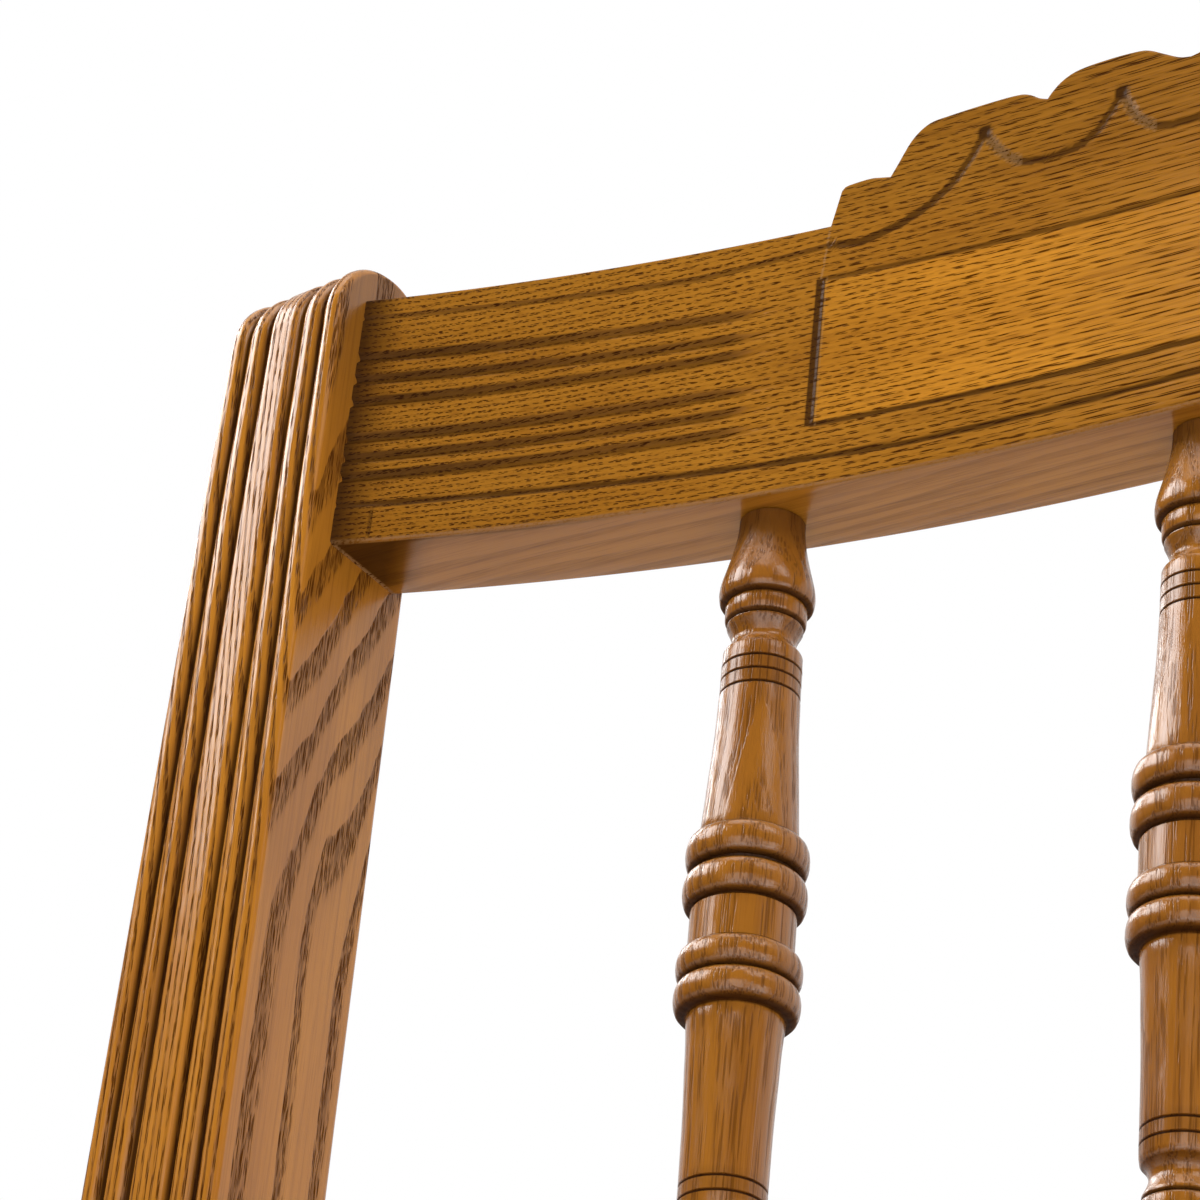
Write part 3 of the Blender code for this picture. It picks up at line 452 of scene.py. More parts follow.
def post_rows(side):
    """Rows of points up the reeded front, over the round top and down the plain back, and their glaze with
    painted shade.
    """
    across, cut, dark = reed_profile()
    eased = arris(across) * ARRIS_SHARE
    drop = DOME_DROP * across ** DOME_DROP_POWER
    heights = [GLIDE_HEIGHT + FIT]
    for low, high, count in POST_ROWS:
        heights += [z for z in np.linspace(low, high, count) if z > heights[-1]]
    rows = []
    glaze = []

    def add_row(width, y, h, reeds):
        rows.append(np.stack([side * (POST_INNER_X + across * width), y, h], axis=1))
        glaze.append(dark * reeds)

    def straight_row(z, face):
        width = seen_width(z)
        half = post_depth(z) / 2 + (seen_back(z) if face < 0 else 0.0)
        slope = post_slope(z)
        length = math.hypot(1.0, slope)
        reeds = float(ramp(z, REED_STOP, REED_FADE)) if face > 0 else 0.0
        out = face * (half - eased * width - cut * REED_DEPTH * reeds)
        sole = z == heights[0]
        y = post_y(z) - (out * length if sole else out / length)
        h = np.full_like(out, z) if sole else z + out * slope / length
        add_row(width, y, h - drop * float(ramp(z, DOME_Z - DOME_DROP_RUN, DOME_DROP_RUN)), reeds)

    for z in heights:
        straight_row(z, 1)
    radius = POST_DEPTH / 2
    length = math.hypot(1.0, POST_SLOPE)
    for turn in np.linspace(0.0, math.pi, DOME_STEPS + 1)[1:-1]:
        reeds = float(ramp(turn, REED_DOME_STOP, -REED_DOME_FADE))
        width = seen_width(DOME_Z + radius * math.sin(turn))
        reach = radius + seen_back(DOME_Z) * (1.0 - math.cos(turn)) / 2 - cut * REED_DEPTH * reeds
        reach = reach - eased * width
        out = reach * math.cos(turn)
        up = reach * math.sin(turn)
        y = post_y(DOME_Z) + (up * POST_SLOPE - out) / length
        add_row(width, y, DOME_Z + (up + out * POST_SLOPE) / length - drop, reeds)
    for z in reversed(heights):
        straight_row(z, -1)
    return rows, glaze


def side_painted_shade(z):
    """Painted shade on a post's sides, darker up towards the crest rail, which shades them."""
    return sum(dark * float(ramp(z, start, run)) for dark, start, run in SIDE_PAINTED_SHADE)


def back_post(name, side, look):
    """Post and rear leg in one: the rows of its face, two flat sides and the sole."""
    rows, glaze = post_rows(side)
    total = len(rows)
    columns = len(rows[0])
    verts = list(np.concatenate(rows))
    glaze = list(np.concatenate(glaze))
    faces = grid_faces(total, columns, False)
    soles = []
    for edge in (0, columns - 1):
        strips = []
        for i in range(total // 2):
            front = i * columns + edge
            back = (total - 1 - i) * columns + edge
            strip = [front]
            for share in SIDE_SHARES[1:-1]:
                strip.append(len(verts))
                verts.append(mix(verts[front], verts[back], share))
                glaze.append(side_painted_shade(verts[-1][2]))
            strips.append(strip + [back])
        for lower, upper in zip(strips, strips[1:]):
            for k in range(len(SIDE_SHARES) - 1):
                faces.append((lower[k], lower[k + 1], upper[k + 1], upper[k]))
        crown = (total // 2) * columns + edge
        last = strips[-1]
        for k in range(len(SIDE_SHARES) - 1):
            faces.append((last[k], last[k + 1], crown))
        soles.append(strips[0][1:-1])
    inner, outer = soles
    front = list(range(columns))
    back = [(total - 1) * columns + j for j in reversed(range(columns))]
    faces.append(tuple(front + outer + back + inner[::-1]))
    return piece(name, verts, faces, look, {"glaze": glaze})


# Rails

RAIL_EDGE = 0.0009
EDGE_PLACES = RAIL_EDGE * np.array([0.0, 0.06, 0.2, 0.42, 0.7, 1.0])
UNDERSIDE_PLACES = (2.2 * RAIL_EDGE, 1.4 * RAIL_EDGE)
BACK_ROWS = 12
TOP_ROWS = 6
PRESSED_ROWS = (128, 62)
PLAIN_ROWS = (24, 12)
PRESSED_SPLIT = 0.0565
PLAIN_SPLIT_SHARE = 0.7
REST_GLAZE = 0.20
CORNER_PAINTED_SHADE = 0.65
LOWER_EDGE_PAINTED_SHADOW = 0.40
GLUE_LINE = 0.0007
LOWER_RAIL_REACH = 0.178
LOWER_RAIL_COLUMNS = 61

# Scalloped top edge, in mm out from the middle: the points of each lobe, then the step to the ends
CREST_LOBES = (
    ((0.0, 86.0), (2.5, 86.6), (6.3, 88.8), (9.3, 90.6), (11.6, 91.3), (18.5, 91.5), (25.9, 90.8),
     (29.5, 89.0), (31.9, 86.4), (32.5, 85.4)),
    ((32.5, 85.4), (34.5, 86.2), (36.5, 87.6), (38.8, 88.4), (45.7, 88.3), (55.7, 87.4), (59.8, 86.5),
     (63.3, 83.2), (66.5, 77.0), (67.7, 74.7)),
    ((67.7, 74.7), (70.0, 75.1), (72.3, 75.4), (76.8, 74.9), (78.1, 74.5), (78.6, 73.8)),
)
CREST_STEP = (80.5, 64.9)
CREST_HALF = POST_INNER_X * MM
CREST_END = 62.5
CREST_LIFT = 0.25

# Pressed work on the crest, in mm out from its middle and up from its lower edge
PRESSED_HALF = 98.0
PANEL_HALF = 81.7
PANEL_BOTTOM = 14.9
PANEL_TOP = 51.2
END_REEDS_START = 92.0
END_REEDS = ((47.3, 45.6), (41.5, 39.7), (35.6, 35.6), (26.2, 26.2), (21.2, 21.2), (16.3, 16.3))
TOP_LINE = ((80.3, 59.8), (107.0, 57.2), (CREST_HALF, 57.7))
LOW_LINE = ((0.0, 7.2), (60.0, 6.1), (107.0, 7.4), (140.0, 8.4), (CREST_HALF, 9.3))
SWAGS = (
    ((80.3, 59.8), (73.4, 59.0), (64.6, 61.5), (58.0, 65.0), (52.8, 69.6), (49.5, 74.4), (47.2, 78.8),
     (46.4, 80.4)),
    ((46.4, 80.4), (43.6, 76.0), (40.8, 72.8), (37.7, 70.7), (35.2, 70.0), (31.6, 69.8), (25.5, 70.4),
     (20.9, 72.9), (17.5, 77.7), (15.3, 81.4)),
    ((15.3, 81.4), (11.9, 74.4), (8.7, 71.3), (6.8, 70.2), (3.2, 69.6), (0.0, 69.5)),
)
SWAGS_FRAYED_FROM = (math.inf, 37.5, 7.0)
PUNCH_MARKS = ((46.4, 80.6), (15.3, 81.6))
PUNCH_HALF_WIDTH = 1.5
PUNCH_HALF_HEIGHT = 1.6
SCRIBED_LINE = 177.0


def crest_top(x):
    """Height of the crest's scalloped top edge."""
    edge = [point[:2] for lobe in CREST_LOBES for point in sweep(lobe, 0.4)]
    edge += [CREST_STEP, (CREST_HALF, CREST_END)]
    return (np.interp(abs(x) * MM, *zip(*edge)) + CREST_LIFT) / MM


def path_distance(x, z, points):
    """Distance from each point to a line through the given points."""
    nearest = np.full(x.shape, np.inf)
    for (ax, az), (bx, bz) in zip(points, points[1:]):
        dx, dz = bx - ax, bz - az
        t = np.clip(((x - ax) * dx + (z - az) * dz) / (dx * dx + dz * dz), 0.0, 1.0)
        nearest = np.minimum(nearest, np.hypot(x - ax - t * dx, z - az - t * dz))
    return nearest


def cut_shape(distance, half):
    """Rounded V of a pressed line, 1 at its middle."""
    t = np.clip(np.abs(distance) / half, 0.0, 1.0)
    return (1.0 - t * t) ** 1.5


def pressing(x, z):
    """Depth of the pressed work on the crest's face, its glaze with painted shade, and how frayed it is;
    lengths here in mm.
    """
    ax = np.abs(x) * MM
    z = z * MM
    depth = np.zeros(x.shape)
    wear = np.zeros(x.shape)
    # Glaze of the ground: rubbed thin along the panel, fuller around it; painted shade darkens it towards the
    # ends and most against the posts, which shade the rail there
    panel = (ax < PANEL_HALF) & (z > PANEL_BOTTOM) & (z < PANEL_TOP)
    thin = 0.17 * ramp(ax, 50.0, 30.0) + 0.17 * ramp(ax, 34.0, -30.0)
    glaze = np.where(panel, thin, 0.34 + 0.14 * ramp(z, 60.0, 12.0))
    glaze = glaze + 0.08 * ramp(ax, 100.0, 70.0) + 0.50 * ramp(ax, CREST_HALF - 10.0, 10.0)

    def press(distance, half, deep, dark, share=1.0):
        nonlocal depth, glaze
        depth = np.maximum(depth, cut_shape(distance, half) * share * deep)
        # Each pressed line is darkened a little wider than it is cut: glaze left in it, with painted shade in
        # the groove
        filled = np.clip(cut_shape(distance, half * 1.5) * 2.5, 0.0, 1.0)
        glaze = np.maximum(glaze, filled * share * dark)

    # Reeds of the two end blocks, darkened by glaze in the grooves and by painted shade that deepens towards
    # the posts
    for outer, inner in END_REEDS:
        line = mix(inner, outer, (ax - END_REEDS_START) / (CREST_HALF - END_REEDS_START))
        fade = ramp(ax, 87.0, 16.0)
        dark = 0.66 + 0.16 * ramp(ax, 125.0, 50.0)
        press(z - line, half=mix(0.8, 1.3, fade), deep=1.0, dark=dark, share=fade)
    # Long lines near the top and the bottom edge
    top_line = np.interp(ax, *zip(*TOP_LINE))
    press(z - top_line, half=0.7, deep=0.4, dark=0.66, share=ramp(ax, 79.0, 2.0))
    low_line = np.interp(ax, *zip(*LOW_LINE))
    press(z - low_line, half=0.7, deep=0.3, dark=0.85)
    # Outline of the middle panel, with a pale line of torn fibres inside its ends
    beside = ramp(z, PANEL_BOTTOM - 0.7, 0.6) * ramp(z, PANEL_TOP + 0.7, -0.6)
    press(ax - PANEL_HALF, half=0.9, deep=0.2, dark=0.90, share=beside)
    wear = np.maximum(wear, 0.30 * cut_shape(ax - PANEL_HALF + 1.3, 0.3) * beside)
    within = ramp(ax, PANEL_HALF + 0.5, -1.0)
    press(z - PANEL_TOP, half=0.5, deep=0.2, dark=0.72, share=within)
    press(z - PANEL_BOTTOM, half=0.6, deep=0.2, dark=0.85, share=within)
    # Swags with a punch mark at each cusp
    for curve, frayed_from in zip(SWAGS, SWAGS_FRAYED_FROM):
        distance = path_distance(ax, z, curve)
        press(distance, half=0.9, deep=0.2, dark=0.84)
        wear = np.where((ax > frayed_from) & (x < 0.0) & (distance < 1.3), 0.35, wear)
    for cx, cz in PUNCH_MARKS:
        mark = (np.abs(ax - cx) / PUNCH_HALF_WIDTH) ** 4 + (np.abs(z - cz) / PUNCH_HALF_HEIGHT) ** 4
        mark = np.sqrt(np.sqrt(mark))
        press(mark, half=0.9, deep=0.2, dark=0.94)
        wear = np.where(mark < 1.1, 0.0, wear)
    # Hairline from the step down to the panel, and the splintered lower edge
    step_x, step_z = CREST_STEP
    hair = ax - np.interp(z, (PANEL_TOP, step_z), (PANEL_HALF, step_x))
    hair = cut_shape(hair, 0.4) * (z > PANEL_TOP + 0.3) * (z < step_z + 0.6)
    wear = np.maximum(wear, 0.9 * hair * (1.0 - glaze))
    wear = np.maximum(wear, 0.3 * ramp(z, 0.9, -0.6))
    # Short scribed line at the foot of each end
    foot = ramp(z, 8.4, -0.8) * ramp(z, 0.5, 0.8)
    press(ax - SCRIBED_LINE, half=0.35, deep=0.3, dark=0.75, share=foot)
    return depth / MM, glaze, wear


def easing(distance, radius):
    """Set-back of a rounded edge at a distance in from it."""
    inside = np.clip(1.0 - distance / radius, 0.0, 1.0)
    return radius * (1.0 - np.sqrt(1.0 - inside ** 2))


def rail(name, columns, bottom, top, pressed, look):
    """Curved rail: every column is a loop up the front, over the top, down the back and under."""
    loops = []
    attributes = {"glaze": [], "wear": [], "sealed": []}
    middle_rows, upper_rows = PRESSED_ROWS if pressed else PLAIN_ROWS
    split = PRESSED_SPLIT if pressed else mix(bottom, top(0.0), PLAIN_SPLIT_SHARE)
    for x in columns:
        crown = float(top(x))
        z = np.concatenate([
            bottom + EDGE_PLACES,
            np.linspace(bottom + RAIL_EDGE, split, middle_rows)[1:],
            np.linspace(split, crown - RAIL_EDGE, upper_rows)[1:],
            (crown - EDGE_PLACES[::-1])[1:],
        ])
        front = easing(np.minimum(z - bottom, crown - z), RAIL_EDGE)
        glaze = np.zeros(z.shape)
        wear = np.zeros(z.shape)
        if pressed:
            depth, glaze, wear = pressing(np.full(z.shape, x), z)
            front = front + depth
        back_z = np.concatenate([
            crown - EDGE_PLACES,
            np.linspace(crown - RAIL_EDGE, bottom + RAIL_EDGE, BACK_ROWS)[1:-1],
            bottom + EDGE_PLACES[::-1],
        ])
        back = RAIL_THICKNESS - easing(np.minimum(back_z - bottom, crown - back_z), RAIL_EDGE)
        over = np.linspace(RAIL_EDGE, RAIL_THICKNESS - RAIL_EDGE, TOP_ROWS)[1:-1]
        under = np.append(over[::-1], UNDERSIDE_PLACES)
        depths = np.concatenate([front, over, back, under])
        heights = np.concatenate([z, np.full(over.shape, crown), back_z, np.full(under.shape, bottom)])
        bow = math.sqrt(RAIL_ARC_RADIUS ** 2 - x ** 2) - RAIL_ARC_RADIUS
        loops.append(np.stack([np.full(depths.shape, x), bow + depths, heights], axis=1))
        # Glaze off the front, with painted light: a wedge under each end, a painted reflection of the post's
        # shaded side, and a painted shadow along the lower edge there
        rest = np.zeros(len(depths) - len(z))
        if pressed:
            corner = smooth((abs(x) - POST_INNER_X + 0.024 - 0.72 * under) / 0.011)
            band = LOWER_EDGE_PAINTED_SHADOW * ramp(abs(x), 0.115, 0.03) * smooth(2.4 - under / RAIL_EDGE)
            rest += REST_GLAZE
            rest[-len(under):] += CORNER_PAINTED_SHADE * corner + band * (1.0 - corner)
        glue = np.full(rest.shape, 1.0 if abs(x) > POST_INNER_X - GLUE_LINE else 0.0)
        low = bottom + RAIL_EDGE / 2
        sealed = np.concatenate([z < low, np.zeros(over.shape), back_z < low, np.ones(under.shape)])
        attributes["glaze"].append(np.concatenate([glaze, rest]))
        attributes["wear"].append(np.concatenate([wear, glue]))
        attributes["sealed"].append(sealed)
    values = {key: np.concatenate(rows) for key, rows in attributes.items()}
    return piece(name, np.concatenate(loops), capped(loops), look, values, 30.0, BACK)


def crest_columns():
    """Columns close together over the pressed middle and the scribed lines, wide apart between them."""
    half = list(np.arange(0.0, PRESSED_HALF, 0.69))
    half += list(np.linspace(PRESSED_HALF, SCRIBED_LINE - 2.0, 34))
    half += list(np.linspace(SCRIBED_LINE - 2.0, SCRIBED_LINE + 2.2, 12))[1:]
    half += [181.5, CREST_HALF - 1.2, CREST_HALF - 0.6, CREST_HALF]
    half += list(np.arange(PANEL_HALF - 1.4, PANEL_HALF + 1.5, 0.25))
    corners = [lobe[-1][0] for lobe in CREST_LOBES] + [CREST_STEP[0]]
    half = [x for x in half if min(abs(x - corner) for corner in corners) > 0.1]
    half = np.array(sorted(half + corners)) / MM
    return [*-half[:0:-1], *half]


# Turned pieces

BEAD_POWER = 0.62
# Darkening at a bead's roots and one point in: glaze with painted shade in the crevice
BEAD_ROOT_GLAZE_AND_SHADE = (0.95, 0.45)
INCISED_HALF = 0.35
SPINDLE_COUNT = 3
SPINDLE_SIDES = 72
SPINDLE_FAN = 0.155
SPINDLE_SHIFT = 0.0005
# Painted shade on surfaces of a turning that face down, as under the rings
UNDERSIDE_PAINTED_SHADE = 0.95


def turning_tree():
    """Spins a profile about an axis and repeats it along an arc, fanned out a little, as spindles stand
    in a back."""
    tree = bpy.data.node_groups.new("turned_row", "GeometryNodeTree")
    for name, kind in (("Geometry", "Geometry"), ("Sides", "Int"), ("Count", "Int"), ("Spacing", "Float"),
                       ("Arc radius", "Float"), ("Fan", "Float"), ("Finish", "Material")):
        tree.interface.new_socket(name, in_out="INPUT", socket_type="NodeSocket" + kind)
    tree.interface.new_socket("Geometry", in_out="OUTPUT", socket_type="NodeSocketGeometry")
    node = partial(add, tree)
    given = node("NodeGroupInput", output=None)
    arc = given["Arc radius"]
    outline = node("GeometryNodeMeshToCurve", {"Mesh": given["Geometry"]})
    circle = node("GeometryNodeCurvePrimitiveCircle", {"Resolution": given["Sides"], "Radius": 1.0})
    spun = node("GeometryNodeCurveToMesh", {"Curve": circle, "Profile Curve": outline})
    closed = node("GeometryNodeMergeByDistance", {"Geometry": spun, "Distance": MERGE_DISTANCE})
    gap = node("ShaderNodeCombineXYZ", [given["Spacing"]])
    places = node("GeometryNodeMeshLine", {"Count": given["Count"], "Offset": gap})
    spread = node(MATH, [given["Count"], 1.0], "SUBTRACT")
    spread = node(MATH, [spread, given["Spacing"]], "MULTIPLY")
    point = node("ShaderNodeSeparateXYZ", [node("GeometryNodeInputPosition")])
    across = node(MATH, [spread, -0.5, point], "MULTIPLY_ADD")
    square = node(MATH, [across, across], "MULTIPLY")
    whole = node(MATH, [arc, arc], "MULTIPLY")
    reach = node(MATH, [whole, square], "SUBTRACT")
    reach = node(MATH, [reach], "SQRT")
    forward = node(MATH, [reach, arc], "SUBTRACT")
    stood = node("ShaderNodeCombineXYZ", [across, forward])
    bent = node("GeometryNodeSetPosition", {"Geometry": places, "Position": stood})
    lean = node("ShaderNodeSeparateXYZ", [node("GeometryNodeInputPosition")])
    lean = node(MATH, [lean, given["Fan"]], "MULTIPLY")
    lean = node("ShaderNodeCombineXYZ", {1: lean})
    copies = node("GeometryNodeInstanceOnPoints", {"Points": bent, "Instance": closed, "Rotation": lean})
    real = node("GeometryNodeRealizeInstances", {"Geometry": copies})
    done = node("GeometryNodeSetMaterial", {"Geometry": real, "Material": given["Finish"]})
    node("NodeGroupOutput", {"Geometry": done})
    return tree


TURNING = turning_tree()


def turned(name, profile, matrix, look, sides=56, count=1, spacing=0.0, fan=0.0, sharp=42.0):
    """Turned piece from (along, radius, glaze and painted shade) points; matrix puts its axis in place."""
    ends = [(profile[0][0], 0.0, 0.0), *profile, (profile[-1][0], 0.0, 0.0)]
    mesh = bpy.data.meshes.new(name + "_profile")
    points = [(radius - 1.0, -along, 0.0) for along, radius, _ in ends]
    mesh.from_pydata(points, [(i, i + 1) for i in range(len(points) - 1)], [])
    layer = mesh.attributes.new("glaze", "FLOAT", "POINT")
    layer.data.foreach_set("value", [dark for _, _, dark in ends])
    maker = in_scene(name + "_profile", mesh)
    made = maker.modifiers.new("turning", "NODES")
    made.node_group = TURNING
    sockets = {item.name: item.identifier for item in TURNING.interface.items_tree if item.in_out == "INPUT"}
    values = {"Sides": sides, "Count": count, "Spacing": spacing, "Arc radius": RAIL_ARC_RADIUS, "Fan": fan,
              "Finish": look}
    for socket, value in values.items():
        made[sockets[socket]] = value
    graph = bpy.context.evaluated_depsgraph_get()
    result = bpy.data.meshes.new_from_object(maker.evaluated_get(graph))
    bpy.data.objects.remove(maker)
    result.name = name
    result.transform(matrix)
    face_out(result)
    return place_mesh(name, result, look, sharp)


def axis_matrix(start, end):
    """Frame at the start whose Z axis runs to the end."""
    return Matrix.Translation(start) @ (end - start).to_track_quat("Z", "Y").to_matrix().to_4x4()


def bead(centre, half, base, crest, count=9):
    """Half-round ring on a turned profile, with dark glaze and painted shade at its two roots."""
    points = []
    for i in range(count + 1):
        turn = math.pi * i / count
        root = min(i, count - i)
        dark = BEAD_ROOT_GLAZE_AND_SHADE[root] if root < len(BEAD_ROOT_GLAZE_AND_SHADE) else 0.0
        points.append((centre - half * math.cos(turn), mix(base, crest, math.sin(turn) ** BEAD_POWER), dark))
    return points


def sweep(keys, step):
    """Smooth run through (along, radius) keys, for tapers, vases and coves."""
    along = [k[0] for k in keys]
    radius = [k[1] for k in keys]
    slopes = []
    for i in range(len(keys)):
        low, high = max(i - 1, 0), min(i + 1, len(keys) - 1)
        slopes.append((radius[high] - radius[low]) / (along[high] - along[low]))
    points = []
    for i in range(len(keys) - 1):
        span = along[i + 1] - along[i]
        count = max(2, int(span / step))
        for j in range(count + (i == len(keys) - 2)):
            t = j / count
            a = (2 * t ** 3 - 3 * t ** 2 + 1) * radius[i] + (t ** 3 - 2 * t ** 2 + t) * span * slopes[i]
            b = (3 * t ** 2 - 2 * t ** 3) * radius[i + 1] + (t ** 3 - t ** 2) * span * slopes[i + 1]
            points.append((along[i] + t * span, a + b, 0.0))
    return points


def incised(along, radius):
    """Fine line cut round a turning, as deep as half its width (mm)."""
    floor = radius - INCISED_HALF
    return [(along - INCISED_HALF, radius, 0.2), (along - INCISED_HALF * 0.4, floor, 0.95),
            (along + INCISED_HALF * 0.4, floor, 0.95), (along + INCISED_HALF, radius, 0.2)]


def spindle_profile():
    """Spindle from its lower to its upper end; points are in mm, from the middle outwards."""
    # The third number of a point is its darkening: glaze in the cuts, with painted shade in the grooves
    # between the rings and in the coves
    end = sweep([(0.0, 7.9), (1.2, 7.0), (2.5, 6.6), (4.0, 6.9), (6.0, 7.8)], 0.5)
    end += [(6.4, 7.8, 0.4), (6.8, 7.3, 0.95), (7.3, 8.1, 0.6), (7.7, 8.3, 0.0)]
    end += [(10.6, 8.4, 0.0), (11.2, 8.2, 0.9), (11.3, 8.9, 0.8), (11.7, 9.4, 0.3)]
    end += sweep([(12.0, 9.6), (12.8, 9.78), (14.0, 9.85), (16.0, 9.6), (19.2, 8.8),
                  (22.5, 8.0), (26.0, 7.3), (29.0, 6.9), (31.9 - FIT * MM, 6.8)], 0.8)
    # Painted shade darkens each end towards its rail, which shades the neck, and takes the shine off there
    end = [(along + 62.0, radius, max(dark, 0.6 * float(ramp(along, 18.0, 11.0))))
           for along, radius, dark in end]
    upper = [(2.8, 10.5, 0.0), (3.1, 10.2, 0.9)]
    upper += bead(7.1, 3.7, 10.2, 12.35)
    upper += [(11.2, 10.0, 1.0)]
    upper += bead(15.3, 3.6, 10.2, 12.3)
    upper += [(19.2, 9.8, 0.8)]
    upper += sweep([(19.7, 9.9), (24.8, 9.55), (33.9, 9.0), (43.0, 8.45), (51.0, 8.25)], 3.0)
    for line in (52.0, 55.1, 58.2):
        upper += incised(line, 8.18)
    upper += [(60.0, 8.1, 0.0), (61.6, 8.1, 0.0)]
    lower = [(5.6, 10.5, 0.0), (5.9, 10.2, 0.9)]
    lower += bead(9.3, 3.3, 10.2, 12.45)
    lower += bead(16.1, 3.4, 10.2, 12.45)
    lower += [(19.7, 9.6, 0.8)]
    lower += sweep([(20.2, 9.7), (25.6, 9.3), (31.4, 9.12), (37.2, 8.9), (43.0, 8.72), (53.0, 8.6)], 3.0)
    for line in (55.2, 58.2):
        lower += incised(line, 8.57)
    lower += [(60.4, 8.5, 0.0), (61.6, 8.3, 0.0)]
    profile = [(-along, radius, dark) for along, radius, dark in reversed(lower + end)] + upper + end
    profile = [(along / MM, radius / MM, dark) for along, radius, dark in profile]
    return [profile[0], *map(with_underside_shade, profile, profile[1:], profile[2:]), profile[-1]]


def with_underside_shade(below, point, above):
    """Point of a standing turning, with painted shade where its surface faces down."""
    along, radius = above[0] - below[0], above[1] - below[1]
    facing_down = max(radius / math.hypot(along, radius), 0.0)
    return point[0], point[1], max(point[2], UNDERSIDE_PAINTED_SHADE * facing_down)


# Seat

SEAT_REAR_SETBACK = 0.003
SEAT_ROUND_TOP = 0.009
SEAT_ROUND_LOW = 0.006
SEAT_RINGS = 34
RIDGE_HEIGHT = 0.0035
RIDGE_HALF = 0.032


def seat_rear_y():
    return post_y(SEAT_MIDDLE) + POST_SEAT_DEPTH / 2 - SEAT_REAR_SETBACK


def seat_side_x(y):
    rear = seat_rear_y()
    corner = rear - SEAT_DEPTH + SEAT_FRONT_BOW + SEAT_CORNER_RADIUS
    return mix(SEAT_FRONT_HALF, SEAT_REAR_HALF, (y - corner) / (rear - corner))


def seat_outline(z):
    """Outline from above at one height, with the notches that take the posts."""
    rear = seat_rear_y()
    front = rear - SEAT_DEPTH + SEAT_FRONT_BOW
    corner = front + SEAT_CORNER_RADIUS
    notch = post_front_y(z) - FIT
    inner = POST_INNER_X - FIT
    half = [(x, rear) for x in np.linspace(0.0, inner, 14)[1:]]
    half += [(inner, y) for y in np.linspace(rear, notch, 6)[1:]]
    half += [(x, notch) for x in np.linspace(inner, seat_side_x(notch), 5)[1:]]
    half += [(seat_side_x(y), y) for y in np.linspace(notch, corner, 20)[1:]]
    for turn in np.linspace(0.0, math.pi / 2, 17)[1:]:
        half.append((SEAT_FRONT_HALF - SEAT_CORNER_RADIUS * (1.0 - math.cos(turn)),
                     corner - SEAT_CORNER_RADIUS * math.sin(turn)))
    straight = SEAT_FRONT_HALF - SEAT_CORNER_RADIUS
    for x in np.linspace(straight, 0.0, 14)[1:]:
        half.append((x, front - SEAT_FRONT_BOW * (1.0 - (x / straight) ** 2)))
    left = [(-x, y) for x, y in reversed(half[:-1])]
    return np.array([(0.0, rear)] + half + left)


def seat(look):
    """Plank seat, scooped on top around a low ridge, with well rounded edges."""
    centre = np.array([0.0, seat_rear_y() - SEAT_DEPTH / 2])
    low = [(turn, SEAT_UNDERSIDE, SEAT_ROUND_LOW) for turn in np.linspace(90.0, 0.0, 7)]
    top = [(turn, SEAT_HEIGHT, -SEAT_ROUND_TOP) for turn in np.linspace(0.0, 90.0, 9)]
    rings = []
    for turn, face, radius in low + top:
        turn = math.radians(turn)
        z = face + radius * (1.0 - math.sin(turn))
        outline = seat_outline(z)
        towards = centre - outline
        towards /= np.linalg.norm(towards, axis=1)[:, None]
        ring = outline + towards * abs(radius) * (1.0 - math.cos(turn))
        rings.append(np.column_stack([ring, np.full(len(ring), z)]))
    rim = rings[-1][:, :2]
    for share in np.linspace(0.0, 0.97, SEAT_RINGS)[1:]:
        flat = rim + (centre - rim) * share
        scoop = SEAT_DISH_DEPTH * ramp(share, 0.05, 0.5)
        ridge = RIDGE_HEIGHT * np.exp(-(flat[:, 0] / RIDGE_HALF) ** 2)
        ridge = ridge * ramp(flat[:, 1], centre[1] + 0.02, -0.12)
        rings.append(np.column_stack([flat, SEAT_HEIGHT - scoop + ridge * ramp(share, 0.05, 0.3)]))
    return piece("seat_plank", np.concatenate(rings), capped(rings), look, sharp=40.0)


# Legs and stretchers

LEG_RADIUS = 0.0185
# In from the seat's side and its front, at the foot and under the seat
LEG_FOOT_INSET = (0.042, 0.047)
LEG_TOP_INSET = (0.056, 0.064)
SOCKET_DEPTH = 0.006
BAR_END_RADIUS = 0.0068
BAR_NECK = (0.004, 0.0069)
BAR_BELLY_RADIUS = 0.0112
BAR_RING_HALF = 0.0042
BAR_RING_RADIUS = 0.0132
BAR_RING_CLEAR = 0.0048
BAR_STEP = 0.008
SIDE_HEIGHTS = (("upper", 0.203), ("lower", 0.128))
FRONT_HEIGHTS = (("upper", 0.240), ("lower", 0.165))
REAR_HEIGHT = 0.166


def leg_point(side, z):
    """Point on a front leg's axis."""
    front = seat_rear_y() - SEAT_DEPTH
    foot = Vector((side * (SEAT_FRONT_HALF - LEG_FOOT_INSET[0]), front + LEG_FOOT_INSET[1], 0.0))
    top = Vector((side * (SEAT_FRONT_HALF - LEG_TOP_INSET[0]), front + LEG_TOP_INSET[1], SEAT_UNDERSIDE))
    return foot.lerp(top, z / SEAT_UNDERSIDE)


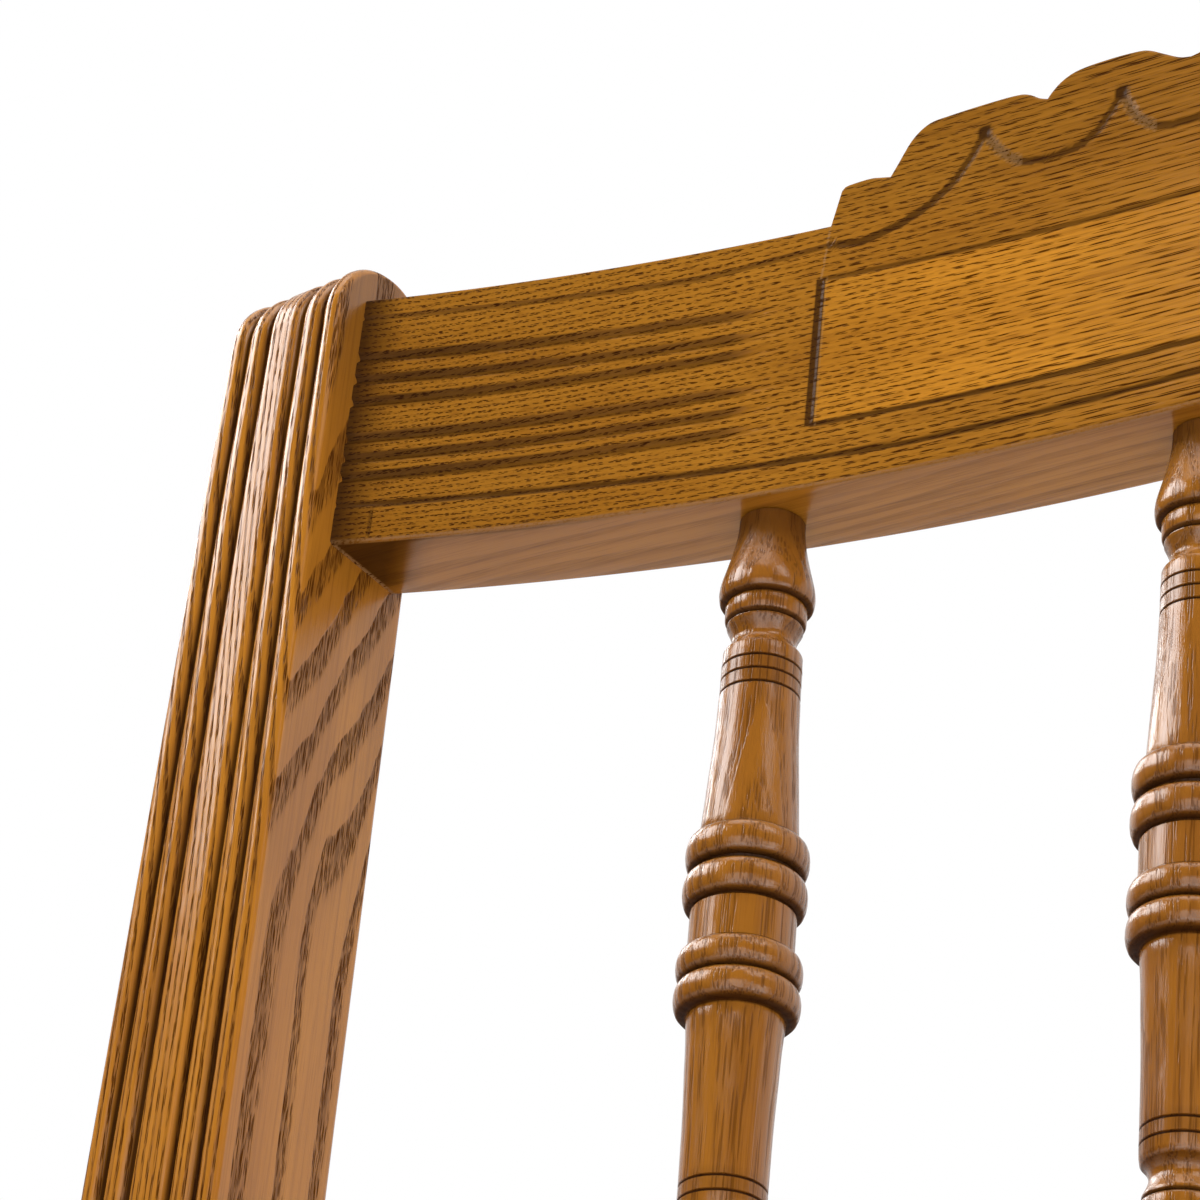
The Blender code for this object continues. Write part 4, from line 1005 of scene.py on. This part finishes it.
def leg_profile():
    """Front leg from its sole to the shoulder under the seat."""
    profile = [(GLIDE_HEIGHT + 0.0012, 0.0102, 0.3)]
    profile += sweep([(0.0056, 0.0112), (0.011, 0.0140), (0.016, 0.0146), (0.023, 0.0134), (0.031, 0.0115),
                      (0.048, 0.0132), (0.075, 0.0162), (0.0965, 0.0172)], 0.002)
    profile += bead(0.103, 0.005, 0.0178, 0.0205)
    profile += sweep([(0.1085, 0.0183), (0.116, LEG_RADIUS), (0.254, LEG_RADIUS), (0.2615, 0.0183)], 0.01)
    profile += bead(0.267, 0.005, 0.0176, 0.0205)
    profile += sweep([(0.2725, 0.0168), (0.278, 0.0142), (0.286, 0.0158), (0.305, 0.0202), (0.328, 0.0225),
                      (0.346, 0.0209), (0.362, 0.0165), (0.372, 0.0142), (0.3808, 0.0152)], 0.002)
    profile += bead(0.386, 0.005, 0.0150, 0.0205)
    profile += sweep([(0.3912, 0.0150), (0.398, 0.0137), (0.408, 0.0135),
                      (SEAT_UNDERSIDE + SOCKET_DEPTH, 0.0135)], 0.002)
    return profile


def stretcher_profile(first, last, ringed):
    """Turned bar between two faces, plain or with three rings; its two ends go into their sockets."""
    neck, neck_radius = BAR_NECK
    start = [(first - SOCKET_DEPTH, BAR_END_RADIUS), (first + neck, neck_radius)]
    stop = [(last - neck, neck_radius), (last + SOCKET_DEPTH, BAR_END_RADIUS)]
    if not ringed:
        belly = [(mix(first, last, share), mix(BAR_END_RADIUS, BAR_BELLY_RADIUS, math.sin(math.pi * share)))
                 for share in (0.08, 0.2, 0.35, 0.5, 0.65, 0.8, 0.92)]
        return sweep(start + belly + stop, BAR_STEP)
    quarter = (last - first) / 4
    middle = (first + last) / 2
    ring = first + quarter
    profile = sweep(start + [(first + quarter / 2, 0.0084), (ring - BAR_RING_CLEAR, 0.0097)], BAR_STEP)
    profile += bead(ring, BAR_RING_HALF, 0.0096, BAR_RING_RADIUS)
    profile += sweep([(ring + BAR_RING_CLEAR, 0.0098), (mix(ring, middle, 0.5), 0.0108),
                      (middle - BAR_RING_CLEAR, 0.0112)], BAR_STEP)
    mirrored = [(first + last - along, radius, dark) for along, radius, dark in reversed(profile)]
    return profile + bead(middle, BAR_RING_HALF, 0.0110, BAR_RING_RADIUS) + mirrored


def stretcher(kind, place, start, end, insets, ringed, look):
    """Turned bar between two legs; insets are how far their faces stand in from its axis points."""
    profile = stretcher_profile(insets[0], (end - start).length - insets[1], ringed)
    made = turned(f"stretcher_{kind}{place}", profile, axis_matrix(start, end), look, sides=40)
    dress(made, "oak_turned", f"{kind}_stretcher{place}")


def make_lower_frame(looks):
    """Front legs and the stretchers between the four legs."""
    for side_name, side in SIDES:
        matrix = axis_matrix(leg_point(side, 0.0), leg_point(side, SEAT_UNDERSIDE))
        made = turned(f"leg_front_{side_name}", leg_profile(), matrix, looks["leg_" + side_name], sides=64)
        dress(made, "oak_turned", f"front_leg_{side_name}")
        for place, z in SIDE_HEIGHTS:
            rear = Vector((side * (POST_INNER_X + post_width(z) / 2), post_front_y(z), z))
            stretcher("side", f"_{side_name}_{place}", leg_point(side, z), rear, (LEG_RADIUS, 0.0),
                      False, looks["side"])
    for place, z in FRONT_HEIGHTS:
        stretcher("front", f"_{place}", leg_point(-1, z), leg_point(1, z), (LEG_RADIUS,) * 2, True,
                  looks["cross"])
    left, right = (Vector((side * POST_INNER_X, post_y(REAR_HEIGHT), REAR_HEIGHT)) for _, side in SIDES)
    stretcher("rear", "", left, right, (0.0, 0.0), False, looks["cross"])


# Small parts

PLUG_PLACES = (("front", -0.009), ("rear", 0.009))
PLUG_PROUD = 0.0006
PLUG_PROFILE = ((0.0, 0.0035), (0.0002, 0.0047), (0.0006, 0.0053), (0.0012, 0.0055), (0.006, 0.0055))
GLIDE_PROFILE = ((0.0, 0.0080), (0.0003, 0.0087), (0.0010, 0.0093), (0.0018, 0.0095), (0.0036, 0.0095),
                 (GLIDE_HEIGHT, 0.0091))


def make_small_parts(looks):
    """Plugs over the seat screws and glides under the feet; dowels and screws are hidden solids."""
    plug = [(along, radius, 0.0) for along, radius in PLUG_PROFILE]
    glide = [(along, radius, 0.0) for along, radius in GLIDE_PROFILE]
    for side_name, side in SIDES:
        outer = POST_INNER_X + post_width(SEAT_MIDDLE)
        for place, offset in PLUG_PLACES:
            face = Vector((side * (outer + PLUG_PROUD), post_y(SEAT_MIDDLE) + offset, SEAT_MIDDLE))
            matrix = axis_matrix(face, face - Vector((side * 0.01, 0.0, 0.0)))
            made = turned(f"plug_{side_name}_{place}", plug, matrix, looks["plug"], sides=32)
            dress(made, "oak_frame", f"screw_plug_{side_name}_{place}")
        foot_z = GLIDE_HEIGHT + FIT
        rear = Vector((side * (POST_INNER_X + post_width(foot_z) / 2), post_y(foot_z), 0.0))
        for place, foot in (("front", leg_point(side, 0.0)), ("rear", rear)):
            matrix = axis_matrix(foot, foot + Vector((0, 0, 1)))
            made = turned(f"foot_glide_{place}_{side_name}", glide, matrix, looks["glide"], sides=40)
            dress(made, "glide_nylon", f"glide_{place}_{side_name}")


def plain_finish(name, hex_low, hex_high, grain, rough, metallic=0.0):
    """Finish with a fine speckle of two tones, for hidden pins and small fittings."""
    made, node, shader = new_material(name)
    place = node("ShaderNodeTexCoord", output="Object")
    speck = node("ShaderNodeTexNoise", {"Vector": place, "Scale": 1.0 / grain, "Detail": 3.0})
    tone = node(MIX, {0: speck, 6: linear(hex_low), 7: linear(hex_high)}, "RGBA", 2)
    wave = node(RANGE, [speck, 0.0, 1.0, rough - 0.06, rough + 0.06])
    bump = node("ShaderNodeBump", {"Height": speck, "Distance": 0.00004})
    feed(shader.inputs, {"Base Color": tone, "Roughness": wave, "Normal": bump, "Metallic": metallic})
    return made


def dress_hidden(nodes):
    """Finishes of the solids that are carried over as they are."""
    # Bare beech: pale, dry and even, with millimetre flecks
    beech = plain_finish("beech_dowel_bare", "#B98F62", "#CDA678", 0.0012, 0.6)
    # Plain steel: cool grey metal with a satin shine
    steel = plain_finish("steel_screw_plain", "#9A9A96", "#B9B8B2", 0.0006, 0.36, 1.0)
    for name, node in nodes.items():
        look = beech if "dowel" in name else steel if "seat_screw" in name else None
        if look is not None:
            node.data.materials.clear()
            node.data.materials.append(look)


# Stage

WHITE = (1.0, 1.0, 1.0, 1.0)
FLOOR_REACH = 9.0
LAMP_TARGET = Vector((-0.08, 0.20, 0.80))
# Degrees to the right of the front and up, then distance, width, height and brightness
LAMPS = (
    ("key_left", -67.0, 43.0, 2.2, 1.75, 0.95, 9.0),
    ("side_left", -110.0, 33.0, 2.2, 0.6, 0.6, 10.0),
    ("overhead", 0.0, 82.0, 2.2, 1.3, 1.3, 2.0),
    ("front_soft", 22.0, 4.0, 2.6, 2.2, 2.2, 2.3),
    ("fill_right", 75.0, -6.0, 2.4, 1.6, 1.6, 3.1),
    ("eye_right", 80.0, 49.0, 2.2, 0.85, 0.85, 3.0),
)
CAMERA_LENS = 129.37
CAMERA_SENSOR = 36.0
# The camera's place from the middle of the crest's lower edge, and its yaw, pitch and roll in degrees
CAMERA_PLACE = Vector((0.32437, -0.62400, -0.46897))
CAMERA_TURN = (36.251, 30.593, 6.424)


def make_floor():
    """Pale matt paper with a faint cloudiness, that fades into white away from the chair."""
    mesh = bpy.data.meshes.new("floor")
    corners = [(x * FLOOR_REACH, y * FLOOR_REACH, 0.0) for x, y in ((-1, -1), (1, -1), (1, 1), (-1, 1))]
    mesh.from_pydata(corners, [], [(0, 1, 2, 3)])
    look, node, shader = new_material("floor_pale_paper")
    place = node("ShaderNodeTexCoord", output="Object")
    fleck = node("ShaderNodeTexNoise", {"Vector": place, "Scale": 6.0})
    tone = node(MIX, {0: fleck, 6: linear("#CFCFCC"), 7: linear("#D4D4D1")}, "RGBA", 2)
    feed(shader.inputs, {"Base Color": tone, "Roughness": 0.85})
    far = node(VECTOR, [place], "LENGTH", "Value")
    far = node(RANGE, [far, 0.7, 2.4], SOFT)
    paths = node("ShaderNodeLightPath", output=None)
    seen = node(MATH, [paths["Is Glossy Ray"], paths["Is Transmission Ray"]], "MAXIMUM")
    seen = node(MATH, [seen, paths["Is Camera Ray"]], "MAXIMUM")
    seen = node(MATH, [seen, far], "MULTIPLY")
    white = node("ShaderNodeEmission", {"Color": WHITE, "Strength": 1.0})
    both = node("ShaderNodeMixShader", [seen, shader.outputs[0], white])
    feed(look.node_tree.nodes["Material Output"].inputs, [both])
    mesh.materials.append(look)
    ground = in_scene("floor", mesh)


def make_surround():
    """White to the camera and behind the chair; dim in front of it, so that the lamps draw the shine."""
    world = bpy.data.worlds.new("studio")
    bpy.context.scene.world = world
    world.use_nodes = True
    tree = world.node_tree
    node = partial(add, tree)
    lit = tree.nodes["Background"]
    way = node("ShaderNodeTexCoord", output="Generated")
    behind = node("ShaderNodeSeparateXYZ", [way], output=1)
    behind = node(RANGE, [behind, -0.35, 0.35], SOFT)
    strength = node(RANGE, [behind, 0.0, 1.0, 0.03, 0.6])
    feed(lit.inputs, {"Color": WHITE, "Strength": strength})
    paths = node("ShaderNodeLightPath", output=None)
    seen = node(MATH, [paths["Is Glossy Ray"], paths["Is Transmission Ray"]], "MAXIMUM")
    seen = node(MATH, [seen, behind], "MULTIPLY")
    seen = node(MATH, [seen, paths["Is Camera Ray"]], "MAXIMUM")
    white = node("ShaderNodeBackground", {"Color": WHITE, "Strength": 1.0})
    both = node("ShaderNodeMixShader", [seen, lit.outputs[0], white])
    feed(tree.nodes["World Output"].inputs, [both])


def make_lamps():
    """Six soft boxes around the chair's back; the two at the left are the brightest."""
    for name, around, above, distance, width, height, brightness in LAMPS:
        data = bpy.data.lights.new(name, "AREA")
        data.shape = "RECTANGLE"
        data.size = width
        data.size_y = height
        data.energy = brightness * math.pi * width * height
        lamp = in_scene(name, data)
        lamp.visible_camera = False
        around, above = math.radians(around), math.radians(above)
        level = math.cos(above)
        direction = Vector((math.sin(around) * level, -math.cos(around) * level, math.sin(above)))
        lamp.location = LAMP_TARGET + direction * distance
        lamp.rotation_euler = direction.to_track_quat("Z", "Y").to_euler()


def make_camera():
    """The photograph's view: close, from the front right, looking up at the upper left of the back."""
    data = bpy.data.cameras.new("camera")
    data.lens = CAMERA_LENS
    data.sensor_width = CAMERA_SENSOR
    camera = in_scene("camera", data)
    camera.location = BACK @ CAMERA_PLACE
    yaw, pitch, roll = map(math.radians, CAMERA_TURN)
    forward = Vector((-math.sin(yaw) * math.cos(pitch), math.cos(yaw) * math.cos(pitch), math.sin(pitch)))
    right = Vector((math.cos(yaw), math.sin(yaw), 0.0))
    up = right.cross(forward)
    right, up = right * math.cos(roll) + up * math.sin(roll), up * math.cos(roll) - right * math.sin(roll)
    axes = Matrix((right, up, -forward)).transposed()
    camera.rotation_euler = (BACK.to_3x3() @ axes).to_euler()
    bpy.context.scene.camera = camera


def make_back(looks):
    """Posts, rails and spindles."""
    for side_name, side in SIDES:
        made = back_post(f"post_{side_name}", side, looks["post_" + side_name])
        dress(made, "oak_frame", f"back_post_{side_name}")
    dress(rail("crest", crest_columns(), 0.0, crest_top, True, looks["crest"]), "oak_frame", "crest_rail")
    low = -SPINDLE_LENGTH - LOWER_RAIL_HEIGHT
    columns = np.linspace(-LOWER_RAIL_REACH, LOWER_RAIL_REACH, LOWER_RAIL_COLUMNS)
    columns = [-POST_INNER_X + FIT, *columns, POST_INNER_X - FIT]
    made = rail("rail_lower", columns, low, lambda x: -SPINDLE_LENGTH, False, looks["lower_rail"])
    dress(made, "oak_frame", "lower_rail")
    stand = BACK @ Matrix.Translation((SPINDLE_SHIFT, RAIL_THICKNESS / 2, -SPINDLE_LENGTH / 2))
    made = turned("spindles", spindle_profile(), stand, looks["spindle"], SPINDLE_SIDES, SPINDLE_COUNT,
                  SPINDLE_SPACING, SPINDLE_FAN)
    dress(made, "oak_turned", "spindle_1", "spindle_2", "spindle_3")


def make_looks():
    """Finishes of the seen pieces. Each cut of oak lies in its own place in the tree, along its own grain."""
    along_x, along_y, along_z = (1.0, 0.0, 0.0), (0.0, 1.0, 0.0), (0.0, 0.0, 1.0)
    crest_foot = BACK @ Vector((0, 0, 0))
    lower_foot = BACK @ Vector((0, 0, -0.236))
    up_back = tuple(BACK.to_3x3() @ Vector(along_z))
    looks = {
        # Clear gold with close fine rings, and a thin coat that leaves the pressed lines easy to read
        "crest": oak("crest", along_x, crest_foot, (120.0, 15.0), 1.4, golden="#CB8828",
                     brown="#A36617", band=0.25, pore=0.30, length=32.0, gloss=0.3),
        "lower_rail": oak("lower_rail", along_x, lower_foot, (90.0, -40.0)),
        # Deeper brown with long streaks, and a full coat that ripples with the grain
        "spindle": oak("spindle", up_back, crest_foot, (47.0, 60.0), 2.6, golden="#A66A21",
                       brown="#834C1B", band=0.2, length=40.0, open_pores=0.45, relief=0.00009),
        # Broad rings and a duller coat, as on a seat that is sat on
        "seat": oak("seat", along_y, (0, 0, SEAT_HEIGHT), (0.0, 160.0), 3.2, gloss=0.45),
        "side": oak("side_stretcher", along_y, (0, 0, 0.16), (40.0, 70.0), 2.4),
        "cross": oak("cross_stretcher", along_x, (0, 0, 0.2), (50.0, 60.0), 2.4),
        "plug": oak("plug", along_z, (0, 0, 0.43), (30.0, 20.0)),
        # Dark brown moulded nylon: even, with a soft shine
        "glide": plain_finish("nylon_glide_moulded", "#3B2A1E", "#4A3527", 0.0009, 0.5),
    }
    for side_name, side in SIDES:
        looks["leg_" + side_name] = oak("leg_" + side_name, (side * -0.034, 0.04, 1.0),
                                        leg_point(side, 0.0), (55.0, 45.0), 2.6)
        # Strong dark bands of early wood up the sides, which bend with the trunk
        looks["post_" + side_name] = oak(
            "post_" + side_name, (0.0, 0.16, 1.0), (side * POST_INNER_X, post_y(0.7), 0.7),
            (side * 600.6, 90.0), 1.6, golden="#BF7D26", brown="#955A1E", band=0.7, pore=0.30, length=16.0,
            open_pores=0.8, wander=1.2, relief=0.00006, sweep=(25.0, 175.0, side * -7.3), spring_end=0.58)
    return looks


def main():
    looks = make_looks()
    make_back(looks)
    dress(seat(looks["seat"]), "oak_seat", "seat")
    make_lower_frame(looks)
    make_small_parts(looks)
    dress_hidden(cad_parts)
    make_floor()
    make_surround()
    make_lamps()
    make_camera()
    bpy.context.scene.view_settings.view_transform = "Standard"


main()
